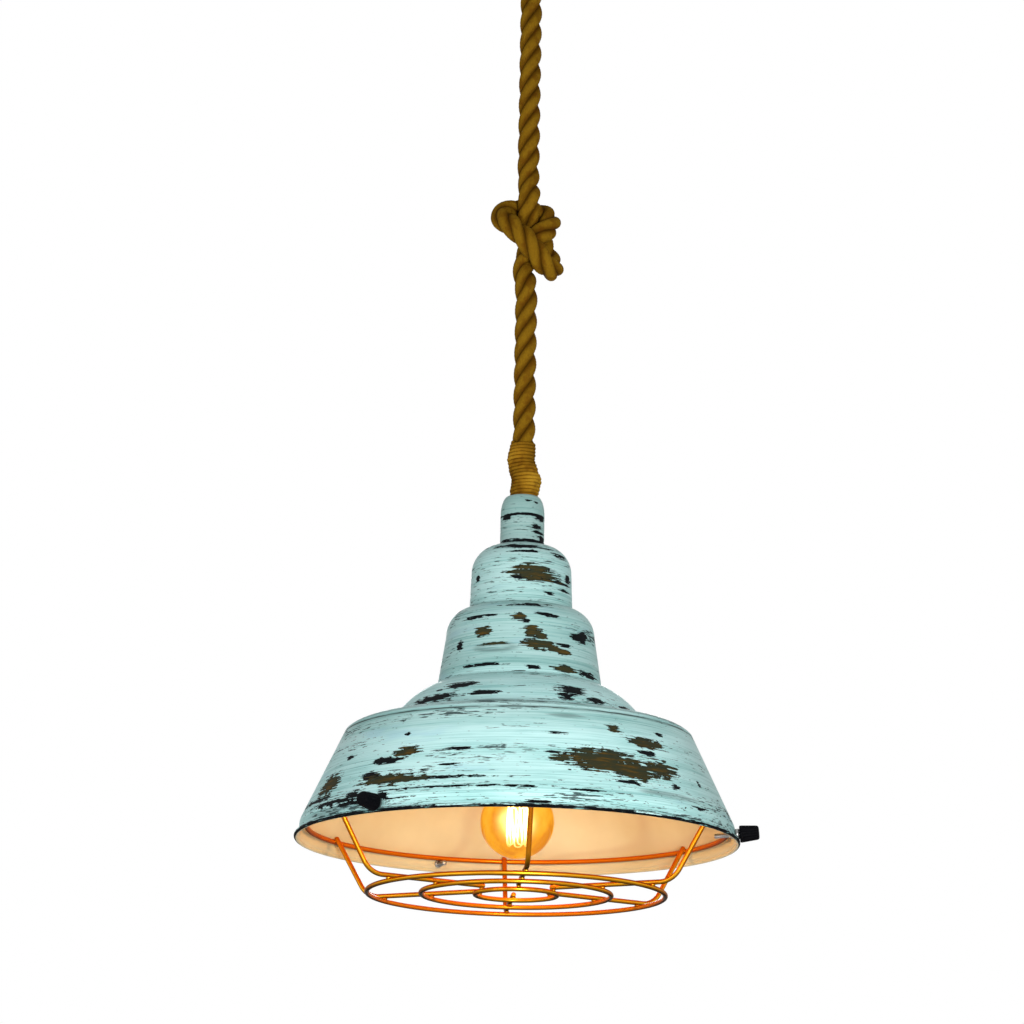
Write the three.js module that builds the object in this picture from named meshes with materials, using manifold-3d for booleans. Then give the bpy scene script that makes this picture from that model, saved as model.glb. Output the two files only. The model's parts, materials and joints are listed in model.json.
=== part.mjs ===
// Rope pendant lamp: a stepped spun shade with a wire bulb guard, hung on a knotted rope.
// Units are millimetres, +Z is up. The origin is on the ceiling, above the rope.
// Pieces of the lamp itself are placed in a group whose z = 0 is the plane of the shade's mouth.
import * as THREE from 'three';
import { mergeVertices } from 'three/addons/utils/BufferGeometryUtils.js';
import Module from 'manifold-3d';

const wasm = await Module();
wasm.setup();

// ---------------------------------------------------------------- driving dimensions
const GAP = 0.3;                    // clearance between pieces that seat on each other
const DROP = 810;                   // ceiling to the plane of the shade's mouth

const SHEET = 1.0;                  // spun sheet thickness
const RIM_BEAD = 1.7;               // radius of the rolled edge
const LIP_REACH = 4.1;              // outside of the rolled edge past the upright edge
const LIP_FOOT = 7.5;               // height where the upright edge flares out to the roll
const ROLL_START = 115;             // angle where the rolled edge meets the flare, in degrees
const WALL_RADIUS = 175.9;          // outside of the upright edge under the cone
const CONE_FOOT = 13;               // height where the cone turns upright
const CONE_TOP_RADIUS = 141.5;
const CONE_TOP = 87;
const GROOVE_DROP = 1.4;            // line pressed into the cone, just under the shoulder's edge
const GROOVE_WIDTH = 2.2;
const GROOVE_DEPTH = 0.7;
const EDGE_RADIUS = 124;            // where the shoulder starts to round over
const EDGE_HEIGHT = 95.3;
const EDGE_RISE = 2.6;
const SHOULDER_RADIUS = 112;        // foot of the low dome
const SHOULDER_TOP = 96.5;
const LOW_DOME_RISE = 3.4;
const LOW_CREASE_RADIUS = 67.5;     // foot of the middle tier
const LOW_CREASE = 127.4;
const MID_RADIUS = 61;              // top of the middle tier's wall
const MID_WALL_TOP = 170;
const MID_CREASE_RADIUS = 42.5;     // foot of the upper tier
const MID_CREASE = 191.5;
const MID_DOME_START = 72;          // angle where the middle tier's dome leaves the crease, in degrees
const UPPER_RADIUS = 41.3;          // top of the upper tier's wall
const UPPER_WALL_TOP = 224;
const CROWN_FLAT_RADIUS = 20;       // flat top that the neck cup stands on
const CROWN = 246.5;

const NECK_RADIUS = 18.3;
const NECK_HEIGHT = 43.5;
const NECK_SHOULDER = 16;           // height over which the neck cup rounds in to its mouth
const NECK_MOUTH_RADIUS = 12.5;

const ROPE_RADIUS = 9.5;
const ROPE_SIDES = 12;
const WHIPPING_RADIUS = 13.2;
const WHIPPING_LENGTH = 49;
const WHIPPING_SEAT = 6;            // how far the whipping sits down inside the neck cup
const WHIPPING_SWELL = 8;           // height above the mouth where the whipping has its full radius
const KNOT_HEIGHT = 518.5;          // middle of the knot above the mouth of the shade
const KNOT_ROPE_RADIUS = 7.2;       // the rope is drawn thin where it is knotted
const KNOT_SIDES = 8;
const KNOT_STEPS = 60;

const TUBE_RADIUS = 5;              // M10 threaded drop tube
const TUBE_BORE = 3.5;
const NUT_FLATS = 14;               // across flats
const NUT_HEIGHT = 5;
const WASHER_RADIUS = 15;
const WASHER_THICKNESS = 1.5;

const ROPE_CUP_WALL = 2.2;
const ROPE_CUP_DEPTH = 22;
const ROPE_CUP_BASE = 6;

const HOLDER_RADIUS = 20;           // E27 lampholder
const HOLDER_MOUTH = 52;
const HOLDER_LENGTH = 38;
const HOLDER_WALL = 2;
const HOLDER_CAP_LENGTH = 16;
const HOLDER_NECK_RADIUS = 8;
const HOLDER_NECK_LENGTH = 7;
const THREAD_SHELL_WALL = 0.6;
const CONTACT_BLOCK_THICKNESS = 7;

const BULB_RADIUS = 30;             // 60 mm globe
const BULB_CENTRE = 17.8;
const BULB_NECK_RADIUS = 12.6;
const BULB_NECK_TOP = 60;
const BULB_NECK_ANGLE = 62;         // where the globe turns into its neck, in degrees
const GLASS_WALL = 0.8;
const BULB_CAP_RADIUS = 13.2;       // E27 cap
const BULB_CAP_BOTTOM = 56;
const BULB_CAP_LENGTH = 19;
const BULB_CONTACT_RADIUS = 5;
const BULB_CONTACT_HEIGHT = 4;
const STEM_RADIUS = 4;
const STEM_TIP = 16;                // above the globe's centre
const STEM_ROD_RADIUS = 2.5;
const STEM_ROD_LENGTH = 10;
const FILAMENT_RADIUS = 0.35;
const FILAMENT_RING = 8;            // radius of the circle that its runs hang in
const FILAMENT_RUNS = 8;
const FILAMENT_FOOT = 15;           // below the globe's centre

const WIRE_RADIUS = 2;              // guard wire, 4 mm
const WIRE_SIDES = 6;
const GUARD_CLEARANCE = 2.7;        // between the top ring and the inside of the wall
const GUARD_OUTER_RADIUS = 120;
const GUARD_MIDDLE_RADIUS = 76.5;
const GUARD_INNER_RADIUS = 33;
const GUARD_BOTTOM = -41;           // centre of the bottom rings' wire
const GUARD_WIRES = 6;
const LEG_SPREAD = 17;              // outer ring to where a leg's slant would meet its level run
const LEG_BEND = 20;                // bend radius of a leg
const LEG_OVERRUN = 3.5;            // leg end above the top ring's centre

const SCREWS = 3;
const SCREW_AZIMUTH = 79;           // first screw, round from the front guard wire, in degrees
const SCREW_TILT = 5;               // outer end higher, in degrees
const SCREW_RADIUS = 2;             // M4
const SCREW_HEIGHT = 6.6;           // axis height where it passes under the top ring
const SCREW_REACH = 10.2;           // tip past the middle of the top ring's wire
const BUSH_RADIUS = 3.4;
const BUSH_COLLAR_RADIUS = 4.6;
const BUSH_INNER_REACH = 2.4;       // bush past the outside of the wall, inward
const BUSH_OUTER_REACH = 0.2;       // bush past the rolled edge, outward
const KNOB_LENGTH = 15.5;
const KNOB_INNER_RADIUS = 7;
const KNOB_OUTER_RADIUS = 5.6;
const KNOB_FLUTES = 8;
const KNOB_FLUTE_DEPTH = 0.7;
const KNOB_FLUTE_RADIUS = 1.2;
const KNOB_BORE_DEPTH = 9;

const CANOPY_RADIUS = 53;
const CANOPY_HEIGHT = 42;
const CANOPY_EDGE = 9;              // rounding between the canopy's wall and its floor
const BRACKET_WIDTH = 22;
const BRACKET_THICKNESS = 2.5;
const BRACKET_LUG = 15;
const BRACKET_BOSS_RADIUS = 9;
const BRACKET_BOSS = 8;             // depth of the boss below the ceiling
const BRACKET_SLOT_CENTRE = 24;
const BRACKET_SLOT_LENGTH = 10;
const BRACKET_SLOT_WIDTH = 5;
const SOCKET_WALL = 3.2;
const SOCKET_BOTTOM = 44;           // below the ceiling
const SOCKET_BORE_DEPTH = 21;
const CANOPY_SCREW_RADIUS = 2;
const CANOPY_SCREW_HEAD = 4;
const CANOPY_SCREW_DEPTH = 9;       // axis below the ceiling
const ROPE_TOP_LENGTH = 45;         // stretch of rope that bends under the canopy
const BLOCK_SIZE = new THREE.Vector3(30, 13, 11);
const BLOCK_OFFSET = 37.5;          // terminal block's middle, along the bracket

const SHADE_SEGMENTS = 32;
const ROUND_SEGMENTS = 18;
const SMALL_SEGMENTS = 12;
const RING_SEGMENTS = 6 * GUARD_WIRES;
const SMALL_RING_SEGMENTS = 4 * GUARD_WIRES;

// ---------------------------------------------------------------- materials
function finish(color, roughness, metalness) {
  return new THREE.MeshStandardMaterial({ color, roughness, metalness });
}

const paint = finish(0xb4e1dc, 0.45, 0.0);
const brass = finish(0xb5762a, 0.25, 1.0);
const steel = finish(0x9a9c9e, 0.35, 1.0);
const blackPlastic = finish(0x0c0c0d, 0.4, 0.0);
const jute = finish(0x8d6a2f, 0.95, 0.0);
const twine = finish(0x9a7838, 0.95, 0.0);
const ceramic = finish(0xe9e4d8, 0.3, 0.0);
const amberGlass = new THREE.MeshStandardMaterial({
  color: 0xffa53a, roughness: 0.05, metalness: 0, transparent: true, opacity: 0.4,
});
const glowing = finish(0xffe7a8, 0.6, 0.0);

// ---------------------------------------------------------------- geometry helpers

/** Positions only, shared vertices merged, collapsed triangles dropped, faces pointing out. */
function weld(source) {
  const bare = source.index ? source.toNonIndexed() : source.clone();
  for (const name of Object.keys(bare.attributes)) {
    if (name !== 'position') bare.deleteAttribute(name);
  }
  const merged = mergeVertices(bare, 1e-3);
  const points = merged.attributes.position;
  const index = [];
  let volume = 0;
  const corner = [new THREE.Vector3(), new THREE.Vector3(), new THREE.Vector3()];
  for (let i = 0; i < merged.index.count; i += 3) {
    const tri = [0, 1, 2].map((k) => merged.index.getX(i + k));
    if (new Set(tri).size < 3) continue;
    tri.forEach((vertex, k) => corner[k].fromBufferAttribute(points, vertex));
    volume += corner[0].dot(corner[1].clone().cross(corner[2]));
    index.push(...tri);
  }
  if (volume < 0) index.reverse();
  merged.setIndex(index);
  return merged;
}

function toSolid(geometry) {
  const welded = weld(geometry);
  return new wasm.Manifold(new wasm.Mesh({
    numProp: 3,
    vertProperties: new Float32Array(welded.attributes.position.array),
    triVerts: new Uint32Array(welded.index.array),
  }));
}

function fromSolid(solid) {
  const mesh = solid.getMesh();
  const geometry = new THREE.BufferGeometry();
  geometry.setAttribute('position', new THREE.BufferAttribute(mesh.vertProperties, 3));
  geometry.setIndex(new THREE.BufferAttribute(mesh.triVerts, 1));
  return geometry;
}

function cut(geometry, ...tools) {
  return fromSolid(tools.reduce((rest, tool) => rest.subtract(toSolid(tool)), toSolid(geometry)));
}

function join(geometry, ...others) {
  return fromSolid(others.reduce((sum, other) => sum.add(toSolid(other)), toSolid(geometry)));
}

const point = (x, y) => new THREE.Vector2(x, y);

/** Points on an ellipse's arc, from angle a0 to a1 in degrees. */
function arc(cx, cy, rx, ry, a0, a1, steps) {
  return Array.from({ length: steps + 1 }, (_, i) => {
    const angle = THREE.MathUtils.degToRad(THREE.MathUtils.lerp(a0, a1, i / steps));
    return point(cx + rx * Math.cos(angle), cy + ry * Math.sin(angle));
  });
}

/** Points on a circular arc that bulges to the left of the line from a to b by the given rise. */
function bulge(a, b, rise, steps) {
  const half = a.distanceTo(b) / 2;
  const radius = (half * half + rise * rise) / (2 * rise);
  const side = b.clone().sub(a).normalize();
  const normal = point(-side.y, side.x);
  const centre = a.clone().lerp(b, 0.5).addScaledVector(normal, rise - radius);
  const start = a.clone().sub(centre).angle();
  const sweep = 2 * Math.asin(half / radius);
  return Array.from({ length: steps + 1 }, (_, i) => {
    const angle = start - (sweep * i) / steps;
    return point(centre.x + radius * Math.cos(angle), centre.y + radius * Math.sin(angle));
  });
}

/** A copy of an open outline, moved to its right-hand side by the distance. */
function offset(outline, distance) {
  return outline.map((here, i) => {
    const before = outline[Math.max(i - 1, 0)];
    const after = outline[Math.min(i + 1, outline.length - 1)];
    const into = (i ? here.clone().sub(before) : after.clone().sub(here)).normalize();
    const out = (after === here ? into.clone() : after.clone().sub(here)).normalize();
    const normal = point(into.y + out.y, -into.x - out.x).normalize();
    const stretch = Math.max(Math.cos(into.angleTo(out) / 2), 0.5);
    return here.clone().addScaledVector(normal, distance / stretch);
  });
}

/** A solid of revolution about Z from a closed outline of (radius, height) points. */
function spin(outline, segments = ROUND_SEGMENTS) {
  const closed = outline[0].x === 0 ? outline : [...outline, outline[0].clone()];
  return new THREE.LatheGeometry(closed, segments).rotateX(Math.PI / 2);
}

/** A ring or tube of revolution between two radii and two heights. */
function sleeve(inner, outer, low, high, segments = ROUND_SEGMENTS) {
  return spin([point(inner, low), point(outer, low), point(outer, high), point(inner, high)], segments);
}

function disc(radius, low, high, segments = ROUND_SEGMENTS) {
  return spin([point(0, low), point(radius, low), point(radius, high), point(0, high)], segments);
}

/** A hexagon nut about Z, with its bore. */
function nut(flats, bore, low, high) {
  const hexagon = new THREE.CylinderGeometry(flats / Math.sqrt(3), flats / Math.sqrt(3), high - low, 6)
    .rotateX(Math.PI / 2)
    .translate(0, 0, (low + high) / 2);
  return cut(hexagon, disc(bore, low - 1, high + 1, SMALL_SEGMENTS));
}

function block(width, depth, low, high) {
  return new THREE.BoxGeometry(width, depth, high - low).translate(0, 0, (low + high) / 2);
}

/** A curve through straight pieces, whose points are also the steps of an extrusion. */
class Spine extends THREE.Curve {
  constructor(points) {
    super();
    this.points = points;
  }

  get steps() {
    return this.points.length - 1;
  }

  getPoint(t) {
    const place = t * this.steps;
    const i = Math.min(Math.floor(place), this.steps - 1);
    return this.points[i].clone().lerp(this.points[i + 1], place - i);
  }

  getUtoTmapping(u) {
    return u;
  }
}

/** A round wire or cord along a spine. */
function wire(points, radius, sides) {
  const section = new THREE.Shape(arc(0, 0, radius, radius, 0, 360 - 360 / sides, sides - 1));
  const spine = new Spine(points);
  return new THREE.ExtrudeGeometry(section, { steps: spine.steps, extrudePath: spine });
}

const model = new THREE.Group();
const lamp = new THREE.Group();
lamp.position.z = -DROP;
model.add(lamp);

function piece(parent, name, geometry, material) {
  const mesh = new THREE.Mesh(weld(geometry), material);
  mesh.name = name;
  parent.add(mesh);
  return mesh;
}

// ---------------------------------------------------------------- shade

const rimRadius = WALL_RADIUS + LIP_REACH;
const lipMiddle = (LIP_FOOT + 2 * RIM_BEAD) / 2;

/** Outer outline of the shade, from its crown down to the flare above the rolled edge. */
function shadeOutline(startRadius) {
  const lowCrease = point(LOW_CREASE_RADIUS, LOW_CREASE);
  const shoulder = point(SHOULDER_RADIUS, SHOULDER_TOP);
  const coneTop = point(CONE_TOP_RADIUS, CONE_TOP);
  return [
    point(startRadius, CROWN),
    ...arc(CROWN_FLAT_RADIUS, UPPER_WALL_TOP, UPPER_RADIUS - CROWN_FLAT_RADIUS,
      CROWN - UPPER_WALL_TOP, 90, 0, 4),
    point(MID_CREASE_RADIUS, MID_CREASE),
    ...arc(MID_CREASE_RADIUS, MID_WALL_TOP, MID_RADIUS - MID_CREASE_RADIUS,
      MID_CREASE - MID_WALL_TOP, MID_DOME_START, 0, 3),
    ...bulge(lowCrease, shoulder, LOW_DOME_RISE, 3),
    ...bulge(point(EDGE_RADIUS, EDGE_HEIGHT), coneTop, EDGE_RISE, 3),
    ...pressedLine(),
    point(WALL_RADIUS, CONE_FOOT),
    point(WALL_RADIUS, LIP_FOOT),
    point(WALL_RADIUS + LIP_REACH / 12, lipMiddle),
  ];
}

/** The shallow groove pressed round the cone, as three points of the outline. */
function pressedLine() {
  return [0, 1, 2].map((step) => {
    const height = CONE_TOP - GROOVE_DROP - (step * GROOVE_WIDTH) / 2;
    return point(wallRadius(height) - (step === 1 ? GROOVE_DEPTH : 0), height);
  });
}

/** The rolled edge, from the foot of the flare round to the inside of the sheet. */
function rimRoll() {
  return arc(rimRadius - RIM_BEAD, RIM_BEAD, RIM_BEAD, RIM_BEAD, ROLL_START, -180, 6);
}

function shadeBody() {
  const outside = shadeOutline(TUBE_RADIUS + GAP);
  const inside = offset(outside, SHEET).reverse();
  inside[inside.length - 1].x = outside[0].x;
  return spin([...outside, ...rimRoll(), ...inside], SHADE_SEGMENTS);
}

/** Radius of the outside at a height: the cone, and below it the upright edge. */
function wallRadius(height) {
  const share = Math.max((height - CONE_FOOT) / (CONE_TOP - CONE_FOOT), 0);
  return THREE.MathUtils.lerp(WALL_RADIUS, CONE_TOP_RADIUS, share);
}

const bushInnerEnd = WALL_RADIUS - BUSH_INNER_REACH;
const bushOuterEnd = rimRadius + BUSH_OUTER_REACH;
const guardTop = SCREW_HEIGHT + SCREW_RADIUS + WIRE_RADIUS + GAP;
const guardTopRadius = wallRadius(guardTop) - SHEET - GUARD_CLEARANCE - WIRE_RADIUS;

/** A group whose +Z runs outward along one thumb screw, with z counted from the lamp's axis. */
function screwFrame(number) {
  const frame = new THREE.Group();
  const azimuth = SCREW_AZIMUTH + (number * 360) / SCREWS;
  frame.rotation.order = 'ZYX';
  frame.rotation.z = THREE.MathUtils.degToRad(azimuth - 90);
  frame.rotation.y = THREE.MathUtils.degToRad(90 - SCREW_TILT);
  const slope = Math.tan(THREE.MathUtils.degToRad(SCREW_TILT));
  frame.position.z = SCREW_HEIGHT - guardTopRadius * slope;
  frame.updateMatrix();
  return frame;
}

function screwHole(number) {
  const drill = disc(BUSH_RADIUS + GAP, bushInnerEnd - SHEET, bushOuterEnd + SHEET, SMALL_SEGMENTS);
  return drill.applyMatrix4(screwFrame(number).matrix);
}

const screwNumbers = Array.from({ length: SCREWS }, (_, i) => i);
piece(lamp, 'shade', cut(shadeBody(), ...screwNumbers.map(screwHole)), paint);

// ---------------------------------------------------------------- neck and rope entry

function neckCup() {
  const foot = CROWN + GAP;
  const top = CROWN + NECK_HEIGHT;
  const wide = NECK_RADIUS - NECK_MOUTH_RADIUS;
  const outside = [
    point(NECK_RADIUS + 0.8, foot),
    point(NECK_RADIUS, foot + 4),
    ...arc(NECK_MOUTH_RADIUS, top - NECK_SHOULDER, wide, NECK_SHOULDER, 0, 90, 5),
  ];
  const inside = [
    ...arc(NECK_MOUTH_RADIUS, top - NECK_SHOULDER, wide - SHEET, NECK_SHOULDER - SHEET, 90, 0, 5),
    point(NECK_RADIUS - SHEET, foot),
  ];
  return spin([...outside, ...inside]);
}

const neckTop = CROWN + NECK_HEIGHT;
const whippingFoot = neckTop - WHIPPING_SEAT;
const whippingTop = whippingFoot + WHIPPING_LENGTH;
const ropeCupBase = CROWN + GAP + NUT_HEIGHT + GAP;
const ropeCupTop = Math.min(ropeCupBase + ROPE_CUP_BASE + ROPE_CUP_DEPTH, whippingFoot - GAP);

piece(lamp, 'neck_cup', neckCup(), paint);

piece(lamp, 'cup_nut', nut(NUT_FLATS, TUBE_RADIUS + GAP, CROWN + GAP, CROWN + GAP + NUT_HEIGHT), steel);

piece(lamp, 'rope_cup', spin([
  point(TUBE_RADIUS + GAP, ropeCupBase),
  point(ROPE_RADIUS + ROPE_CUP_WALL, ropeCupBase),
  point(ROPE_RADIUS + ROPE_CUP_WALL, ropeCupTop),
  point(ROPE_RADIUS + GAP, ropeCupTop),
  point(ROPE_RADIUS + GAP, ropeCupBase + ROPE_CUP_BASE),
  point(TUBE_RADIUS + GAP, ropeCupBase + ROPE_CUP_BASE),
]), steel);

piece(lamp, 'neck_whipping',
  spin([
    point(ROPE_RADIUS + GAP, whippingFoot),
    point(NECK_MOUTH_RADIUS - GAP - 0.8, whippingFoot),
    point(NECK_MOUTH_RADIUS - GAP, neckTop),
    point(WHIPPING_RADIUS, neckTop + WHIPPING_SWELL),
    point(WHIPPING_RADIUS, whippingTop - 6),
    point(WHIPPING_RADIUS - 2, whippingTop),
    point(ROPE_RADIUS + GAP, whippingTop),
  ]), twine);

// ---------------------------------------------------------------- drop tube and its nuts

const washerTop = CROWN - SHEET - GAP;
const innerNutTop = washerTop - WASHER_THICKNESS - GAP;
const holderTop = HOLDER_MOUTH + HOLDER_LENGTH + GAP + HOLDER_CAP_LENGTH;

piece(lamp, 'drop_tube',
  sleeve(TUBE_BORE, TUBE_RADIUS, holderTop - 4, ropeCupBase + ROPE_CUP_BASE - 1, SMALL_SEGMENTS), steel);
piece(lamp, 'inner_washer',
  sleeve(TUBE_RADIUS + GAP, WASHER_RADIUS, washerTop - WASHER_THICKNESS, washerTop), steel);
piece(lamp, 'inner_nut', nut(NUT_FLATS, TUBE_RADIUS + GAP, innerNutTop - NUT_HEIGHT, innerNutTop), steel);

// ---------------------------------------------------------------- lampholder

const holderRim = HOLDER_MOUTH + HOLDER_LENGTH;
const threadShellRadius = BULB_CAP_RADIUS + GAP;
const threadShellTop = BULB_CAP_BOTTOM + BULB_CAP_LENGTH;
const bulbTip = threadShellTop + BULB_CONTACT_HEIGHT;
const blockFoot = bulbTip + 3;

piece(lamp, 'holder_shell', spin([
  point(HOLDER_RADIUS - HOLDER_WALL - 1, HOLDER_MOUTH),
  point(HOLDER_RADIUS - 1, HOLDER_MOUTH),
  point(HOLDER_RADIUS, HOLDER_MOUTH + 2),
  point(HOLDER_RADIUS, holderRim),
  point(HOLDER_RADIUS - HOLDER_WALL, holderRim),
  point(HOLDER_RADIUS - HOLDER_WALL, HOLDER_MOUTH + 4),
]), blackPlastic);

piece(lamp, 'holder_cap', spin([
  point(TUBE_RADIUS + GAP, holderTop),
  point(TUBE_RADIUS + GAP, holderTop - HOLDER_WALL - 2),
  point(HOLDER_NECK_RADIUS, holderTop - HOLDER_NECK_LENGTH - HOLDER_WALL),
  point(HOLDER_RADIUS - HOLDER_WALL, holderRim + GAP + 2),
  point(HOLDER_RADIUS - HOLDER_WALL, holderRim + GAP),
  point(HOLDER_RADIUS, holderRim + GAP),
  point(HOLDER_RADIUS, holderRim + GAP + 3),
  point(HOLDER_NECK_RADIUS + 2, holderTop - HOLDER_NECK_LENGTH),
  point(HOLDER_NECK_RADIUS, holderTop - HOLDER_NECK_LENGTH + 2),
  point(HOLDER_NECK_RADIUS, holderTop),
]), blackPlastic);

piece(lamp, 'thread_shell',
  sleeve(threadShellRadius, threadShellRadius + THREAD_SHELL_WALL, HOLDER_MOUTH + 5, blockFoot - GAP), brass);

piece(lamp, 'contact_block',
  disc(HOLDER_RADIUS - HOLDER_WALL - GAP, blockFoot, blockFoot + CONTACT_BLOCK_THICKNESS), ceramic);

/** A folded contact strip: a foot against the block, and a tongue that the lamp cap presses on. */
function contactStrip(length, width, tongueDrop) {
  const strip = new THREE.Shape([
    point(0, 0), point(length, 0), point(length, -0.6), point(length * 0.45, -0.6),
    point(length * 0.2, -tongueDrop), point(0, -tongueDrop), point(0, -tongueDrop + 0.6),
    point(length * 0.15, -tongueDrop + 0.6), point(length * 0.38, -0.6), point(0, -0.6),
  ]);
  return new THREE.ExtrudeGeometry(strip, { depth: width, bevelEnabled: false })
    .rotateX(Math.PI / 2)
    .translate(0, width / 2, 0);
}

piece(lamp, 'centre_contact',
  contactStrip(9, 4, 2.2).translate(-2, 0, blockFoot - GAP), brass);
piece(lamp, 'side_contact',
  contactStrip(4, 3, 2.2).rotateZ(Math.PI / 2).translate(0, 7.5, blockFoot - GAP), brass);

// ---------------------------------------------------------------- bulb

function bulbGlass() {
  const outside = [
    ...arc(0, BULB_CENTRE, BULB_RADIUS, BULB_RADIUS, -90, BULB_NECK_ANGLE, 8),
    point(BULB_NECK_RADIUS + 0.8, BULB_CENTRE + BULB_RADIUS + 2),
    point(BULB_NECK_RADIUS, BULB_CAP_BOTTOM - 3),
    point(BULB_NECK_RADIUS, BULB_NECK_TOP),
  ];
  outside[0].x = 0;
  const inside = offset(outside, -GLASS_WALL).reverse();
  inside[0].y = BULB_NECK_TOP;
  inside[inside.length - 1].x = 0;
  return spin([...outside, ...inside]);
}

piece(lamp, 'bulb_glass', bulbGlass(), amberGlass);

piece(lamp, 'bulb_cap', spin([
  point(BULB_NECK_RADIUS + GAP, BULB_CAP_BOTTOM),
  point(BULB_CAP_RADIUS, BULB_CAP_BOTTOM),
  point(BULB_CAP_RADIUS, threadShellTop),
  point(BULB_CONTACT_RADIUS + 3, threadShellTop + 2),
  point(BULB_CONTACT_RADIUS, bulbTip),
  point(0, bulbTip),
  point(0, threadShellTop - 1),
  point(BULB_NECK_RADIUS + GAP, threadShellTop - 1),
]), brass);

const stemFoot = BULB_CENTRE + STEM_TIP;

piece(lamp, 'bulb_stem', spin([
  point(0, stemFoot),
  point(STEM_ROD_RADIUS, stemFoot),
  point(STEM_ROD_RADIUS, stemFoot + STEM_ROD_LENGTH),
  point(STEM_RADIUS + 3, BULB_NECK_TOP - 2),
  point(BULB_NECK_RADIUS - GLASS_WALL - GAP, BULB_NECK_TOP),
  point(0, BULB_NECK_TOP),
], SMALL_SEGMENTS), ceramic);

/** A zigzag of fine wire hung in a circle below the stem, as in an old carbon lamp. */
function filament() {
  const low = BULB_CENTRE - FILAMENT_FOOT;
  const high = stemFoot - 4;
  const points = [];
  for (let i = 0; i < FILAMENT_RUNS; i += 1) {
    const angle = THREE.MathUtils.degToRad((i * 300) / (FILAMENT_RUNS - 1));
    const x = FILAMENT_RING * Math.cos(angle);
    const y = FILAMENT_RING * Math.sin(angle);
    const ends = i % 2 ? [low, high] : [high, low];
    points.push(...ends.map((z) => new THREE.Vector3(x, y, z)));
  }
  points.unshift(new THREE.Vector3(0, 0, stemFoot - GAP));
  return wire(points, FILAMENT_RADIUS, 5);
}

piece(lamp, 'filament', filament(), glowing);

// ---------------------------------------------------------------- wire guard

/** A closed ring of wire, with a corner of its facets under each bent wire. */
function ring(radius, height, segments = RING_SEGMENTS) {
  return new THREE.TorusGeometry(radius, WIRE_RADIUS, WIRE_SIDES, segments)
    .rotateZ(-Math.PI / 2)
    .translate(0, 0, height);
}

const runHeight = GUARD_BOTTOM + 2 * WIRE_RADIUS + GAP;

piece(lamp, 'guard_top_ring', ring(guardTopRadius, guardTop), brass);
piece(lamp, 'guard_outer_ring', ring(GUARD_OUTER_RADIUS, GUARD_BOTTOM), brass);
piece(lamp, 'guard_middle_ring', ring(GUARD_MIDDLE_RADIUS, GUARD_BOTTOM, SMALL_RING_SEGMENTS), brass);
piece(lamp, 'guard_inner_ring', ring(GUARD_INNER_RADIUS, GUARD_BOTTOM, SMALL_RING_SEGMENTS), brass);

/** One bent wire in the YZ plane: slanting leg, bend, and level run in to the inner ring. */
function guardWire() {
  const top = point(guardTopRadius - 2 * WIRE_RADIUS - GAP, guardTop);
  const foot = point(GUARD_OUTER_RADIUS + LEG_SPREAD, runHeight);
  const slant = top.clone().sub(foot).normalize();
  const turn = Math.PI - slant.angleTo(point(-1, 0));
  const tangent = LEG_BEND * Math.tan(turn / 2);
  const bendStart = foot.clone().addScaledVector(slant, tangent);
  const centre = point(foot.x - tangent, runHeight + LEG_BEND);
  const first = bendStart.clone().sub(centre).angle() * THREE.MathUtils.RAD2DEG - 360;
  const outline = [
    top.clone().addScaledVector(slant, LEG_OVERRUN),
    ...arc(centre.x, centre.y, LEG_BEND, LEG_BEND, first, -90, 5),
    point(GUARD_INNER_RADIUS - WIRE_RADIUS, runHeight),
  ];
  return wire(outline.map(({ x, y }) => new THREE.Vector3(0, -x, y)), WIRE_RADIUS, WIRE_SIDES);
}

for (let i = 0; i < GUARD_WIRES; i += 1) {
  const bent = piece(lamp, `guard_wire_${i + 1}`, guardWire(), brass);
  bent.rotation.z = (i * 2 * Math.PI) / GUARD_WIRES;
}

// ---------------------------------------------------------------- thumb screws

const knobStart = bushOuterEnd + GAP;
const screwEnd = knobStart + KNOB_BORE_DEPTH - GAP;
const screwTip = guardTopRadius - SCREW_REACH;

/** Threaded bush: a barrel through the wall, and a collar cut to lie on the wall and the roll. */
function screwBush(frame) {
  const barrel = sleeve(SCREW_RADIUS + GAP, BUSH_RADIUS, bushInnerEnd, bushOuterEnd, SMALL_SEGMENTS);
  const collar = sleeve(SCREW_RADIUS + GAP, BUSH_COLLAR_RADIUS, bushInnerEnd, bushOuterEnd,
    SMALL_SEGMENTS);
  const low = -CONE_TOP / 4;
  const high = CONE_TOP / 2;
  const wall = spin([
    point(0, low),
    point(rimRadius + GAP, low),
    point(rimRadius + GAP, 2 * RIM_BEAD + GAP),
    point(rimRadius - RIM_BEAD, 2 * RIM_BEAD + GAP),
    point(WALL_RADIUS + LIP_REACH / 12 + GAP, lipMiddle + GAP),
    point(WALL_RADIUS + GAP, LIP_FOOT + GAP),
    point(WALL_RADIUS + GAP, CONE_FOOT),
    point(wallRadius(high) + GAP, high),
    point(0, high),
  ], SHADE_SEGMENTS).applyMatrix4(frame.matrix.clone().invert());
  return join(barrel, cut(collar, wall));
}

function screwShank() {
  return spin([
    point(0, screwTip),
    point(SCREW_RADIUS - 0.6, screwTip),
    point(SCREW_RADIUS, screwTip + 1),
    point(SCREW_RADIUS, screwEnd),
    point(0, screwEnd),
  ], SMALL_SEGMENTS);
}

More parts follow.
